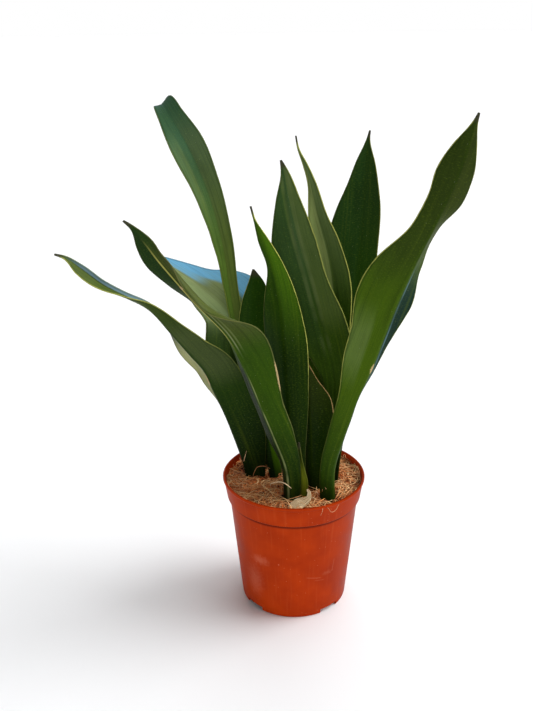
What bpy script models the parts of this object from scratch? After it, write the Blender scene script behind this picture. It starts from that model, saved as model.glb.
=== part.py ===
"""Snake plant in a terracotta-coloured nursery pot.

The origin is the middle of the pot's underside. +Z is up and the front of the plant looks towards -Y.
Sizes are in millimetres and degrees here, and the objects are made in metres.
"""
import math

import bmesh
import bpy
import numpy as np

MM = 0.001

# Pot
POT_HEIGHT = 124.0
RIM_RADIUS = 65.0
RIM_LIP_HEIGHT = 3.0
BAND_HEIGHT = 20.5
BAND_FOOT_RADIUS = 61.2
BODY_TOP_RADIUS = 59.0
BODY_FOOT_RADIUS = 49.0
WALL = 1.7
FLOOR_HEIGHT = 4.2
FLOOR_THICKNESS = 1.9
CENTRE_FOOT_RADIUS = 11.0
NOTCH_COUNT = 4
NOTCH_WIDTH = 20.0
NOTCH_TURN = 42.0
DRAIN_COUNT = 8
DRAIN_RADIUS = 4.0
DRAIN_CIRCLE = 31.0
DRAIN_SIDES = 16
CUTTER_DEPTH = 10.0
RIM_INSET = 2.0
# Slopes of the central foot's hollow and of the inner corners
HOLLOW_TOP_INSET = 1.2
HOLLOW_FOOT_SPREAD = 1.3
INNER_ROUND = 2.0
EDGE_ROUND = 0.8
FOOT_ROUND = 0.6
TURN_STEPS = 48
# Corners sharper than this many degrees stay crisp
SHARP_ANGLE = 35.0

# Coir that fills the pot
COIR_EDGE_HEIGHT = 116.0
COIR_CROWN_HEIGHT = 117.5
COIR_FLAT_SHARE = 0.6
COIR_SHOULDER_SHARE = 0.9
COIR_SHOULDER_RISE = 0.4

# Clearance between pieces that touch, and the distance in metres within which points are one
GAP = 0.3
MERGE_DISTANCE = 1e-5

# Leaves: thickness at the midrib along the leaf, thickness at the margin, and the grid of each blade
LEAF_FOOT_HEIGHT = 92.0
HOLE_CLEARANCE = 0.4
FOOT_CLEARANCE = 1.2
LEAF_THICKNESS = 6.0
THICKNESS_ALONG = ((0.0, 1.0), (0.15, 0.83), (0.45, 0.5), (0.9, 0.27), (1.0, 0.17))
MARGIN_THICKNESS = 0.9
LEAST_CURL = 1e-4
LEAST_HALF_WIDTH = 0.4
THIN_BLADE = 0.3
ROWS_ALONG = 20
SMALL_BLADE_ROWS = 10
# Rows lie closer together towards the tip, by this power
ROW_SPACING = 1.25
# Half the length that a midrib's direction is read over
DIRECTION_REACH = 0.5
HOLE_TOP = 136.0

# Rhizome that the leaves grow from: its two branches, and the crowns under the tufts of leaves
RHIZOME_RADIUS = 8.0
# Steps over each quarter of the rhizome's round section
RHIZOME_SIDES_STEP = 2
RHIZOME_BRANCHES = (
    ((-31, 13, 82), (-18, -4, 79), (3, -29, 81), (18, -21, 80), (28, -6, 80), (29, 8, 82)),
    ((12, -27, 80), (20, -31, 80), (31, -32, 83)),
)
CROWN_HEIGHT = 15.0
CROWN_TAPER = 0.6
CROWN_SIDES = 20
# x, y and radius
CROWNS = ((-31, 13, 19), (5, -31, 15), (29, 7, 16), (31, -32, 10))

# One row for each station up a leaf's midrib:
# x, y and z of the midrib, half widths on its left and right, the compass angle and the rise that the
# leaf's inner face looks in, its keel, and how far its left and right halves curl up from the keel
LEAVES = {
    "leaf_arching_left": (
        (-25, 22, 92, 9, 9, -70, 5, 20, 35, 35),
        (-34, 22, 160, 9, 10, -70, 8, 20, 35, 35),
        (-46, 25, 225, 7.2, 8, -75, 10, 15, 30, 30),
        (-56, 31, 285, 5.6, 8, -75, 15, 15, 25, 25),
        (-64, 38, 335, 8.7, 10.6, -75, 20, 12, 20, 20),
        (-77, 45, 380, 13, 13.5, -80, 25, 12, 10, 10),
        (-93, 54, 414, 15.5, 15.5, -85, 35, 12, 10, 10),
        (-105, 64, 433, 11, 12.5, -110, 50, 12, 10, 10),
        (-115, 84, 443, 8, 11, -160, 60, 12, 15, 15),
        (-122, 110, 438, 0.6, 0.6, -160, 60, 10, 10, 10),
    ),
    "leaf_folded_left": (
        (-4, -38, 92, 8, 8, 80, 0, 25, 15, 25),
        (-6, -39, 150, 12, 9, 70, 0, 25, 12, 20),
        (-16, -43, 182, 16.5, 12, 65, 0, 25, 10, 5),
        (-26, -47, 211, 18, 13, 60, 5, 25, 5, 5),
        (-38, -51, 245, 25.5, 13, 55, 10, 25, -5, 0),
        (-52, -55, 276, 33, 12, 50, 25, 25, -20, 0),
        (-76, -60, 306, 20.5, 9, 60, 30, 22, -110, 5),
        (-91, -61, 325, 14, 11, 80, 15, 18, -130, 5),
        (-104, -62, 342, 6.5, 12, 90, 10, 12, -50, 0),
        (-113, -62, 355, 5.5, 8, 90, 5, 10, 0, 0),
        (-122, -62, 366, 2.5, 1, 90, 0, 10, 0, 0),
        (-128, -62, 372, 0.6, 0.6, 90, 0, 10, 0, 0),
    ),
    "leaf_low_left": (
        (-40, 7, 92, 12, 8, 52, 0, 25, 15, 30),
        (-43, 7, 123, 17, 6, 52, 0, 25, 12, 30),
        (-51, 7, 152, 27, 2.5, 52, 0, 25, 8, 20),
        (-64, 7, 187, 33, 3.5, 54, 10, 25, 8, -10),
        (-71, 6, 205, 31, 13, 55, 15, 25, 9, -24),
        (-78, 4, 223, 28, 17, 55, 20, 25, 10, -30),
        (-91, 2, 240.5, 22, 25, 53, 30, 25, 10, -28),
        (-104, 0, 258, 17, 15, 50, 40, 25, 10, -20),
        (-126, -3, 285, 8.5, 6, 30, 75, 30, 20, 20),
        (-140, -4, 293, 7.5, 4, -75, 75, 30, 20, 20),
        (-160, -6, 305, 9.5, 4, -90, 55, 25, 25, 25),
        (-178, -8, 320.5, 7.5, 3.5, -90, 45, 15, 15, 15),
        (-190, -9, 330, 2, 1.5, -90, 45, 15, 15, 15),
        (-198, -10, 333, 0.6, 0.6, -90, 45, 10, 10, 10),
    ),
    "leaf_broad_back": (
        (-37, 26, 92, 8, 8, -60, 0, 20, 30, 30),
        (-45, 29, 140, 12, 12, -60, 5, 15, 30, 30),
        (-54, 32, 184, 19, 16, -65, 10, 15, 20, 20),
        (-58, 38, 228, 27, 22, -70, 20, 15, 15, 15),
        (-58, 48, 258, 26, 39, -75, 40, 12, 10, 10),
        (-76, 62, 274, 24, 37, -75, 60, 10, 5, 5),
        (-90, 69, 282.5, 20, 23, -78, 66, 10, 5, 5),
        (-104, 74, 291, 16, 16, -80, 70, 10, 5, 5),
        (-136, 80, 311, 0.6, 0.6, -90, 70, 10, 5, 5),
    ),
    "leaf_short_left": (
        (-15, 3, 92, 8, 5, 90, 0, 20, 30, 30),
        (-18, 4, 118, 9, 5, 90, 0, 20, 30, 30),
        (-27, 10, 172, 12, 9, 90, 5, 20, 25, 25),
        (-37.5, 12, 244, 17, 12, 90, 5, 15, 20, 20),
        (-36.5, 15, 284.5, 15, 8, 90, 5, 10, 10, 10),
        (-35.2, 17, 301, 10, 3.5, 90, 5, 10, 10, 10),
        (-34.5, 18, 312, 0.6, 0.6, 90, 5, 10, 10, 10),
    ),
    "leaf_front": (
        (3, -29, 92, 9, 9, 85, 0, 25, 30, 30),
        (-1, -28, 150, 12, 12, 80, 0, 20, 20, 30),
        (-5, -26, 216, 18, 19, 78, 0, 14, 12, 25),
        (-8, -24, 263, 19, 20, 80, 0, 16, 15, 20),
        (-11, -22, 298, 14, 14, 90, 0, 15, 10, 10),
        (-17, -21, 325, 9, 5, 90, 0, 15, 10, 10),
        (-25, -21, 348, 4, 4, 90, 0, 15, 10, 10),
        (-31, -20, 363, 0.8, 0.8, 90, 0, 10, 10, 10),
        (-34, -20, 374, 0.5, 0.5, 90, 0, 10, 10, 10),
    ),
    "leaf_middle": (
        (30, -4, 92, 9, 9, -90, 0, 20, 20, 20),
        (33, -5, 162, 12, 12, -90, 0, 15, 15, 15),
        (35, -4, 214, 9, 19, -95, 0, 12, 15, 15),
        (30, -4, 244, 17, 24, -98, 0, 12, 15, 15),
        (22, -4, 274, 30, 23, -98, 0, 10, 10, 10),
        (13, -4, 308, 29, 16.5, -96, 0, 10, 10, 10),
        (3, -2, 343, 22, 15.5, -92, 0, 10, 10, 10),
        (-4, -1, 375, 11, 10, -90, 0, 10, 10, 10),
        (-8, 0, 398, 2, 4, -90, 0, 10, 10, 10),
        (-10, 0, 407, 0.6, 0.6, -90, 0, 10, 10, 10),
    ),
    "leaf_slender": (
        (24, 8, 92, 9, 9, -90, 0, 20, 20, 20),
        (32, 8, 188, 21, 12, -90, 0, 15, 10, 15),
        (37, 9, 248, 26, 11.8, -90, 0, 15, 10, 15),
        (34, 13, 303, 18, 15.5, -90, 0, 15, 15, 15),
        (28, 15, 333, 16, 14, -90, 0, 20, 20, 20),
        (21, 18, 357, 10, 9, -90, 0, 20, 20, 20),
        (15, 21, 381, 3, 6, -90, 0, 20, 20, 20),
        (9, 24, 400, 1.5, 3, -90, 0, 20, 20, 20),
        (4, 25, 413, 0.6, 0.8, -90, 0, 20, 20, 20),
        (2, 25, 423, 0.5, 0.5, -90, 0, 20, 20, 20),
    ),
    "leaf_upright_back": (
        (29, 19, 92, 8, 7, -90, 0, 20, 20, 20),
        (39, 21, 188, 14, 10.5, -90, 0, 15, 20, 20),
        (53, 30, 266, 32, 14, -90, 0, 8, 8, 8),
        (58, 33, 327, 31.5, 15, -90, 0, 8, 8, 8),
        (60, 38, 363, 22.5, 14.8, -90, 0, 10, 10, 10),
        (60.5, 39, 381, 15, 12, -90, 0, 10, 10, 10),
        (61, 40, 398, 9, 8.5, -90, 0, 10, 10, 10),
        (63, 41, 419, 1.2, 1.2, -90, 0, 10, 10, 10),
        (64, 41, 425, 0.5, 0.5, -90, 0, 10, 10, 10),
    ),
    "leaf_young": (
        (19, -20, 92, 9, 9, 75, 0, 25, 30, 30),
        (17, -20, 150, 19, 13, 70, 0, 20, 15, 15),
        (15, -19, 190, 20, 13, 70, 0, 15, 15, 15),
        (13.5, -18.5, 207, 17.5, 11, 72, 0, 15, 12, 12),
        (12, -18, 222, 9, 9, 75, 0, 15, 10, 10),
        (9.5, -16.5, 243, 0.6, 0.6, 80, 0, 10, 10, 10),
    ),
    "leaf_right": (
        (33, -34, 92, 8, 8, 115, 0, 25, 25, 25),
        (34, -37, 152, 8, 10.5, 125, 0, 25, 20, 20),
        (43, -41, 187, 6, 13, 125, 0, 25, 10, 10),
        (52, -44, 218, 5, 15.5, 125, 0, 25, 0, 5),
        (63, -48, 249, 6.5, 23.5, 112, 0, 25, -20, 5),
        (71, -52, 276, 11, 26, 111, 0, 25, -25, 3),
        (79, -56, 303, 16.5, 31.5, 110, 0, 25, -30, 0),
        (89, -60, 330, 14, 30, 120, 0, 25, -10, 0),
        (103, -65, 364, 10, 16, 125, 0, 25, 0, 5),
        (112, -66, 386, 15, 14, 100, 5, 14, 5, 5),
        (119, -67, 405, 13, 16, 95, 5, 12, 5, 5),
        (125, -66, 424, 7, 11, 90, 0, 10, 5, 5),
        (130, -63, 442, 1.5, 2, 90, 0, 10, 5, 5),
        (132, -62, 448, 0.6, 0.6, 90, 0, 10, 10, 10),
    ),
}
# The short leaf that clasps the front tuft, and the dry sheath that stands in the coir before it
SMALL_BLADES = {
    "scale_leaf": (
        (7.5, -33, 92, 4, 1.5, 85, 0, 5, 10, 10),
        (7.5, -33, 117, 4, 1.5, 85, 0, 5, 10, 10),
        (8, -33, 131, 4.5, 1.5, 85, 0, 5, 10, 10),
        (6.5, -32.5, 143, 3.5, 1.5, 85, 0, 5, 10, 10),
        (5.5, -32, 155, 1.8, 1.2, 85, 0, 5, 10, 10),
        (4.5, -32, 171, 0.6, 0.6, 85, 0, 5, 10, 10),
    ),
    "dried_sheath": (
        (-3, -51, 111, 2, 2, -90, 30, 0, 20, 20),
        (-1, -50, 117, 3.5, 3.5, -90, 30, 0, 25, 25),
        (4, -49, 120, 4.5, 4.5, -90, 30, 0, 30, 30),
        (9, -48, 121.5, 4, 4, -90, 30, 0, 30, 30),
        (13, -47, 125, 2, 2, -90, 20, 0, 20, 20),
        (13.5, -46, 129, 1.2, 1.2, -90, 10, 0, 10, 10),
        (12, -45.5, 132.5, 0.6, 0.6, -90, 10, 0, 10, 10),
    ),
}
# Leaves whose halves fold hard and need more columns
FOLDED = ("leaf_folded_left", "leaf_low_left", "leaf_broad_back", "leaf_right")

# Colours as red, green and blue of the screen, then roughness
LEAF_GREEN = (48, 82, 30)
LEAF_ROUGHNESS = 0.42
FINISHES = {
    "pot": ((172, 60, 32), 0.45),
    "coir": ((150, 104, 68), 0.95),
    "rhizome": ((214, 150, 84), 0.7),
    "dried_sheath": ((222, 200, 164), 0.8),
    "scale_leaf": ((96, 112, 40), 0.5),
}


def clear_scene():
    for obj in list(bpy.data.objects):
        bpy.data.objects.remove(obj, do_unlink=True)


def new_collection(name, parent=None):
    collection = bpy.data.collections.new(name)
    (parent or bpy.context.scene.collection).children.link(collection)
    return collection


def linear(channel):
    value = channel / 255
    return value / 12.92 if value <= 0.04045 else ((value + 0.055) / 1.055) ** 2.4


def principled(name, screen_colour, roughness):
    material = bpy.data.materials.new(name)
    material.use_nodes = True
    shader = material.node_tree.nodes["Principled BSDF"]
    shader.inputs["Base Color"].default_value = (*[linear(c) for c in screen_colour], 1)
    shader.inputs["Roughness"].default_value = roughness
    shader.inputs["Metallic"].default_value = 0
    return material


def add_object(name, data, collection):
    obj = bpy.data.objects.new(name, data)
    collection.objects.link(obj)
    return obj


def as_guide(obj):
    obj.hide_render = True
    obj.display_type = "WIRE"
    return obj


def evaluated_mesh(obj):
    graph = bpy.context.evaluated_depsgraph_get()
    return bpy.data.meshes.new_from_object(obj.evaluated_get(graph))


def boolean(obj, name, operation, collection):
    modifier = obj.modifiers.new(name, "BOOLEAN")
    modifier.operation = operation
    modifier.solver = "EXACT"
    modifier.operand_type = "COLLECTION"
    modifier.collection = collection
    return modifier


def turned(name, profile, collection):
    """A solid of revolution from a profile of (radius, height) that runs down its outer side."""
    mesh = bpy.data.meshes.new(name)
    points = [(r * MM, 0, z * MM) for r, z in profile]
    mesh.from_pydata(points, [(i, i + 1) for i in range(len(points) - 1)], [])
    obj = add_object(name, mesh, collection)
    screw = obj.modifiers.new("turn", "SCREW")
    screw.steps = screw.render_steps = TURN_STEPS
    screw.use_merge_vertices = True
    screw.merge_threshold = MERGE_DISTANCE
    obj.data = evaluated_mesh(obj)
    obj.modifiers.clear()
    bpy.data.meshes.remove(mesh)
    obj.data.shade_smooth()
    obj.data.set_sharp_from_angle(angle=math.radians(SHARP_ANGLE))
    return obj


def wall_radius(height):
    """Outer radius of the pot's tapering body at a height."""
    share = height / (POT_HEIGHT - BAND_HEIGHT)
    return BODY_FOOT_RADIUS + (BODY_TOP_RADIUS - BODY_FOOT_RADIUS) * share


def band_radius(height):
    """Outer radius of the band under the rim at a height."""
    share = (height - POT_HEIGHT + BAND_HEIGHT) / (BAND_HEIGHT - RIM_LIP_HEIGHT)
    return BAND_FOOT_RADIUS + (RIM_RADIUS - 1.0 - BAND_FOOT_RADIUS) * share


def pot_outside():
    """From the inner edge of the rim, over it and down to the foot, then in under the floor."""
    lip = POT_HEIGHT - RIM_LIP_HEIGHT
    band = POT_HEIGHT - BAND_HEIGHT
    foot_line = FLOOR_HEIGHT + FLOOR_THICKNESS
    return [
        (RIM_RADIUS - RIM_INSET, POT_HEIGHT),
        (RIM_RADIUS - EDGE_ROUND, POT_HEIGHT),
        (RIM_RADIUS, POT_HEIGHT - EDGE_ROUND),
        (RIM_RADIUS, lip + EDGE_ROUND),
        (band_radius(lip), lip),
        (band_radius(band + EDGE_ROUND), band + EDGE_ROUND),
        (BAND_FOOT_RADIUS - EDGE_ROUND, band),
        (BODY_TOP_RADIUS, band - FOOT_ROUND),
        (wall_radius(foot_line), foot_line),
        (BODY_FOOT_RADIUS, FOOT_ROUND),
        (BODY_FOOT_RADIUS - FOOT_ROUND, 0),
        (BODY_FOOT_RADIUS - WALL, 0),
        (BODY_FOOT_RADIUS - WALL, FLOOR_HEIGHT),
        (CENTRE_FOOT_RADIUS + 2.5, FLOOR_HEIGHT),
        (CENTRE_FOOT_RADIUS, 0),
        (0, 0),
    ]


def pot_inside():
    """From the middle of the floor, out and up the inner wall to the rim."""
    floor = FLOOR_HEIGHT + FLOOR_THICKNESS
    shoulder = POT_HEIGHT - BAND_HEIGHT - FOOT_ROUND
    lip = POT_HEIGHT - RIM_LIP_HEIGHT
    return [
        (0, FLOOR_THICKNESS),
        (CENTRE_FOOT_RADIUS - HOLLOW_TOP_INSET, FLOOR_THICKNESS),
        (CENTRE_FOOT_RADIUS + HOLLOW_FOOT_SPREAD, floor),
        (wall_radius(floor) - WALL - INNER_ROUND, floor),
        (wall_radius(floor + INNER_ROUND) - WALL, floor + INNER_ROUND),
        (BODY_TOP_RADIUS - WALL, shoulder),
        (band_radius(shoulder + INNER_ROUND) - WALL, shoulder + INNER_ROUND),
        (band_radius(lip) - WALL, lip),
        (RIM_RADIUS - RIM_INSET, POT_HEIGHT),
    ]


def make_pot(collection, cutters):
    pot = turned("pot", pot_inside()[:-1] + pot_outside(), collection)
    notches = new_collection("pot_cutters", cutters)
    for i in range(NOTCH_COUNT):
        angle = math.radians(NOTCH_TURN + i * 360 / NOTCH_COUNT)
        mesh = bpy.data.meshes.new(f"notch_{i}")
        shape = bmesh.new()
        bmesh.ops.create_cube(shape, size=1)
        bmesh.ops.scale(shape, vec=(CUTTER_DEPTH * MM, NOTCH_WIDTH * MM, 2 * FLOOR_HEIGHT * MM), verts=shape.verts)
        shape.to_mesh(mesh)
        shape.free()
        notch = as_guide(add_object(f"notch_{i}", mesh, notches))
        radius = BODY_FOOT_RADIUS * MM
        notch.location = (radius * math.sin(angle), -radius * math.cos(angle), 0)
        notch.rotation_euler.z = angle + math.radians(90)
    for i in range(DRAIN_COUNT):
        angle = 2 * math.pi * i / DRAIN_COUNT
        mesh = bpy.data.meshes.new(f"drain_{i}")
        shape = bmesh.new()
        bmesh.ops.create_cone(shape, cap_ends=True, segments=DRAIN_SIDES, radius1=DRAIN_RADIUS * MM,
                              radius2=DRAIN_RADIUS * MM, depth=CUTTER_DEPTH * MM)
        shape.to_mesh(mesh)
        shape.free()
        drain = as_guide(add_object(f"drain_{i}", mesh, notches))
        radius = DRAIN_CIRCLE * MM
        drain.location = (radius * math.cos(angle), radius * math.sin(angle), FLOOR_HEIGHT * MM)
    boolean(pot, "notches_and_drains", "DIFFERENCE", notches)
    return pot


def coir_profile():
    """Crown of the coir, its edge, down beside the pot's inner wall and in over its floor."""
    sides = [(r - GAP, z + GAP) for r, z in reversed(pot_inside()[:-1]) if r > 0 and z < COIR_EDGE_HEIGHT]
    edge = band_radius(COIR_EDGE_HEIGHT) - WALL - GAP
    top = [
        (0, COIR_CROWN_HEIGHT),
        (COIR_FLAT_SHARE * edge, COIR_CROWN_HEIGHT),
        (COIR_SHOULDER_SHARE * edge, COIR_EDGE_HEIGHT + COIR_SHOULDER_RISE),
    ]
    return top + [(edge, COIR_EDGE_HEIGHT)] + sides + [(0, FLOOR_THICKNESS + GAP)]


def through(knots, values, at):
    """A smooth curve through the stations, read at the given lengths."""
    slope = np.gradient(values, knots, axis=0)
    i = np.clip(np.searchsorted(knots, at, side="right") - 1, 0, len(knots) - 2)
    span = (knots[i + 1] - knots[i])[:, None]
    s = (at[:, None] - knots[i][:, None]) / span
    start = (2 * s**3 - 3 * s**2 + 1) * values[i] + (s**3 - 2 * s**2 + s) * span * slope[i]
    end = (3 * s**2 - 2 * s**3) * values[i + 1] + (s**3 - s**2) * span * slope[i + 1]
    return start + end


def unit(vectors):
    return vectors / np.linalg.norm(vectors, axis=-1, keepdims=True)


def leaf_grid(stations, rows, half_columns):
    """Middle surface of a leaf: a grid of points from its foot to its tip and from margin to margin."""
    table = np.array(stations, float)
    spine = table[:, :3]
    knots = np.concatenate([[0], np.cumsum(np.linalg.norm(np.diff(spine, axis=0), axis=1))])
    compass, rise = np.radians(table[:, 5]), np.radians(table[:, 6])
    look = np.stack([np.cos(compass) * np.cos(rise), np.sin(compass) * np.cos(rise), np.sin(rise)], 1)
    values = np.concatenate([spine, look, table[:, 3:5], np.radians(table[:, 7:10])], 1)
    length = knots[-1]
    at = length * (1 - (1 - np.linspace(0, 1, rows + 1)) ** ROW_SPACING)
    read = through(knots, values, at)
    midrib = read[:, :3]
    ahead = through(knots, values, np.minimum(at + DIRECTION_REACH, length))[:, :3]
    behind = through(knots, values, np.maximum(at - DIRECTION_REACH, 0))[:, :3]
    along = unit(ahead - behind)
    inward = unit(read[:, 3:6] - (read[:, 3:6] * along).sum(1, keepdims=True) * along)
    across = np.cross(along, inward)
    share = np.linspace(0, 1, half_columns + 1)[None, :]
    keel = read[:, 8:9]
    halves = []
    for side, width, curl in ((-1, read[:, 6:7], read[:, 9:10]), (1, read[:, 7:8], read[:, 10:11])):
        curl = np.where(abs(curl) < LEAST_CURL, LEAST_CURL, curl)
        width = np.maximum(width, LEAST_HALF_WIDTH)
        out = (np.sin(keel + curl * share) - np.sin(keel)) / curl * width * side
        up = (np.cos(keel) - np.cos(keel + curl * share)) / curl * width
        halves.append(midrib[:, None] + across[:, None] * out[..., None] + inward[:, None] * up[..., None])
    grid = np.concatenate([halves[0][:, :0:-1], halves[1]], 1)
    level = (spine[0, 2] - grid[0, :, 2:3]) / along[0, 2]
    grid[0] += level * along[0]
    return grid, along, at / length


def blade_thickness(share, half_columns, scale):
    """Thickness of a blade at each grid point: thick at the midrib and the foot, thin at the margins."""
    lengths, factors = zip(*THICKNESS_ALONG)
    middle = LEAF_THICKNESS * scale * np.interp(share, lengths, factors)
    middle = np.maximum(middle, MARGIN_THICKNESS)[:, None]
    t = np.linspace(-1, 1, 2 * half_columns + 1)[None, :]
    return MARGIN_THICKNESS + (middle - MARGIN_THICKNESS) * (1 - t**2)


def blade_object(name, grid, thickness, collection):
    """A grid of triangles made solid on both sides of its middle surface."""
    rows, columns = grid.shape[:2]
    foot = grid[0].mean(0)
    points = ((grid - foot) * MM).reshape(-1, 3)
    faces = []
    for i in range(rows - 1):
        for j in range(columns - 1):
            a, b = i * columns + j, i * columns + j + 1
            c, d = b + columns, a + columns
            faces += [(a, b, c), (a, c, d)]
    mesh = bpy.data.meshes.new(name)
    mesh.from_pydata([tuple(p) for p in points], [], faces)
    mesh.shade_smooth()
    obj = add_object(name, mesh, collection)
    obj.location = tuple(foot * MM)
    greatest = float(thickness.max())
    group = obj.vertex_groups.new(name="thickness")
    for index, value in enumerate(thickness.ravel()):
        group.add([index], float(value) / greatest, "REPLACE")
    solid = obj.modifiers.new("thickness", "SOLIDIFY")
    solid.thickness = greatest * MM
    solid.offset = 0
    solid.vertex_group = group.name
    return obj


def hole_cutter(name, grid, along, thickness, collection):
    """The foot of a blade, grown by the clearance, that cuts its hole in the coir."""
    rows = int(np.searchsorted(grid[:, :, 2].min(1), HOLE_TOP)) + 1
    foot = grid[:rows].copy()
    foot[0] -= along[0] * 2 * FOOT_CLEARANCE
    foot[:, 0] += unit(foot[:, 0] - foot[:, 1]) * HOLE_CLEARANCE
    foot[:, -1] += unit(foot[:, -1] - foot[:, -2]) * HOLE_CLEARANCE
    return as_guide(blade_object(name, foot, thickness[:rows] + 2 * HOLE_CLEARANCE, collection))


def make_blades(collection, cutters, table, scale):
    blades = []
    for name, stations in table.items():
        half_columns = 4 if name in FOLDED else 3
        rows = ROWS_ALONG if table is LEAVES else SMALL_BLADE_ROWS
        grid, along, share = leaf_grid(stations, rows, half_columns)
        thickness = blade_thickness(share, half_columns, scale)
        blade = blade_object(name, grid, thickness, collection)
        screen_colour, roughness = FINISHES.get(name, (LEAF_GREEN, LEAF_ROUGHNESS))
        blade.data.materials.append(principled(name, screen_colour, roughness))
        hole_cutter(f"hole_{name}", grid, along, thickness, cutters)
        blades.append(blade)
    return blades


def rhizome_tube(name, points, grow, collection):
    """One branch of the rhizome, a round tube through its points with its ends filled."""
    curve = bpy.data.curves.new(name, "CURVE")
    curve.dimensions = "3D"
    curve.bevel_depth = (RHIZOME_RADIUS + grow) * MM
    curve.bevel_resolution = RHIZOME_SIDES_STEP
    curve.use_fill_caps = True
    spline = curve.splines.new("POLY")
    route = np.array(points, float)
    knots = np.concatenate([[0], np.cumsum(np.linalg.norm(np.diff(route, axis=0), axis=1))])
    smooth = through(knots, route, np.linspace(0, knots[-1], 2 * len(points)))
    spline.points.add(len(smooth) - 1)
    for point, place in zip(spline.points, smooth):
        point.co = (*[float(c) * MM for c in place], 1)
    tube = add_object(name, curve, collection)
    mesh = evaluated_mesh(tube)
    bpy.data.objects.remove(tube)
    shape = bmesh.new()
    shape.from_mesh(mesh)
    bmesh.ops.remove_doubles(shape, verts=shape.verts, dist=MERGE_DISTANCE)
    shape.to_mesh(mesh)
    shape.free()
    return add_object(name, mesh, collection)


def rhizome_crown(name, x, y, radius, grow, collection):
    """A short stub, narrower below, that carries one tuft of leaves on its flat top."""
    mesh = bpy.data.meshes.new(name)
    shape = bmesh.new()
    bmesh.ops.create_cone(shape, cap_ends=True, segments=CROWN_SIDES, radius1=(CROWN_TAPER * radius + grow) * MM,
                          radius2=(radius + grow) * MM, depth=(CROWN_HEIGHT + 2 * grow) * MM)
    shape.to_mesh(mesh)
    shape.free()
    crown = add_object(name, mesh, collection)
    crown.location = (x * MM, y * MM, (LEAF_FOOT_HEIGHT - FOOT_CLEARANCE - CROWN_HEIGHT / 2) * MM)
    return crown


def make_rhizome(name, grow, collection):
    """Branches and crowns joined into one body."""
    pieces = new_collection(f"{name}_pieces")
    for i, points in enumerate(RHIZOME_BRANCHES):
        rhizome_tube(f"{name}_branch_{i}", points, grow, pieces)
    for i, (x, y, radius) in enumerate(CROWNS):
        rhizome_crown(f"{name}_crown_{i}", x, y, radius, grow, pieces)
    first = pieces.objects[0]
    body = add_object(name, first.data.copy(), collection)
    pieces.objects.unlink(first)
    boolean(body, "join", "UNION", pieces)
    body.data = evaluated_mesh(body)
    body.modifiers.clear()
    bpy.data.objects.remove(first)
    for piece in list(pieces.objects):
        bpy.data.objects.remove(piece)
    bpy.data.collections.remove(pieces)
    body.data.shade_smooth()
    body.data.set_sharp_from_angle(angle=math.radians(SHARP_ANGLE))
    return body


def main():
    clear_scene()
    plant = new_collection("potted_snake_plant")
    cutters = new_collection("cutters")
    holes = new_collection("coir_cutters", cutters)
    stand = add_object("potted_snake_plant", None, plant)

    pieces = [make_pot(plant, cutters)]
    coir = turned("coir", coir_profile(), plant)
    rhizome = make_rhizome("rhizome", 0, plant)
    as_guide(make_rhizome("rhizome_hollow", GAP, holes))
    pieces += [coir, rhizome]
    for piece in pieces:
        screen_colour, roughness = FINISHES[piece.name]
        piece.data.materials.clear()
        piece.data.materials.append(principled(piece.name, screen_colour, roughness))
    pieces += make_blades(plant, holes, LEAVES, 1)
    pieces += make_blades(plant, holes, SMALL_BLADES, THIN_BLADE)
    boolean(coir, "leaf_holes", "DIFFERENCE", holes)
    for piece in pieces:
        piece.parent = stand


main()
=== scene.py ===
"""Snake plant in a terracotta-coloured nursery pot: its looks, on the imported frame.

The origin is the middle of the pot's underside, +Z is up and the front looks towards -Y.
Sizes are in millimetres and degrees here, and the objects are made in metres.
"""
import math
import random
from collections import namedtuple

import bmesh
import bpy
import numpy as np
from mathutils import Matrix, Vector, noise


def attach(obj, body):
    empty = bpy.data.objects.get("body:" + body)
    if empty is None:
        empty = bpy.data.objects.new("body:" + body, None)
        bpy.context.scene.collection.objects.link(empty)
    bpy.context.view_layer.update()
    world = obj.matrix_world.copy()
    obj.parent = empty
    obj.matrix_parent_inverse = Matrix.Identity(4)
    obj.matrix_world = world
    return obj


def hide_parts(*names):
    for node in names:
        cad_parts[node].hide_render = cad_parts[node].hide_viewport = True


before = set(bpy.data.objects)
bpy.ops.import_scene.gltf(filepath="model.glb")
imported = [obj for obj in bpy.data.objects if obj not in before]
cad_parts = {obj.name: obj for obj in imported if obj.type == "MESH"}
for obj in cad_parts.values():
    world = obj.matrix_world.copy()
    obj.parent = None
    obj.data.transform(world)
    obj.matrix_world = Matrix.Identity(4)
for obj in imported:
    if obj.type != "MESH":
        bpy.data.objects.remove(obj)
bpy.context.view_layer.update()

MM = 0.001
SEED = 11

# Camera: its place in metres, its turn in degrees, and its focal length in pixels of the image's height
CAMERA_PLACE = (0, -0.691, 0.507)
CAMERA_YAW = 1.95
CAMERA_PITCH = -21.17
CAMERA_ROLL = -0.75
CAMERA_FOCAL = 850
IMAGE_HEIGHT = 711
SENSOR = 36

# Pot
POT_HEIGHT = 124.0
RIM_RADIUS = 65.0
RIM_LIP_HEIGHT = 3.0
RIM_INSET = 2.0
BAND_HEIGHT = 20.5
BAND_FOOT_RADIUS = 61.2
BAND_INSET = 1.0
SHOULDER_RADIUS = 59.0
FOOT_RADIUS = 49.0
WALL = 1.7
FLOOR_HEIGHT = 4.2
FLOOR_THICKNESS = 1.9
FLOOR_TOP = FLOOR_HEIGHT + FLOOR_THICKNESS
BAND_FOOT = POT_HEIGHT - BAND_HEIGHT
LIP_FOOT = POT_HEIGHT - RIM_LIP_HEIGHT
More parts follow.
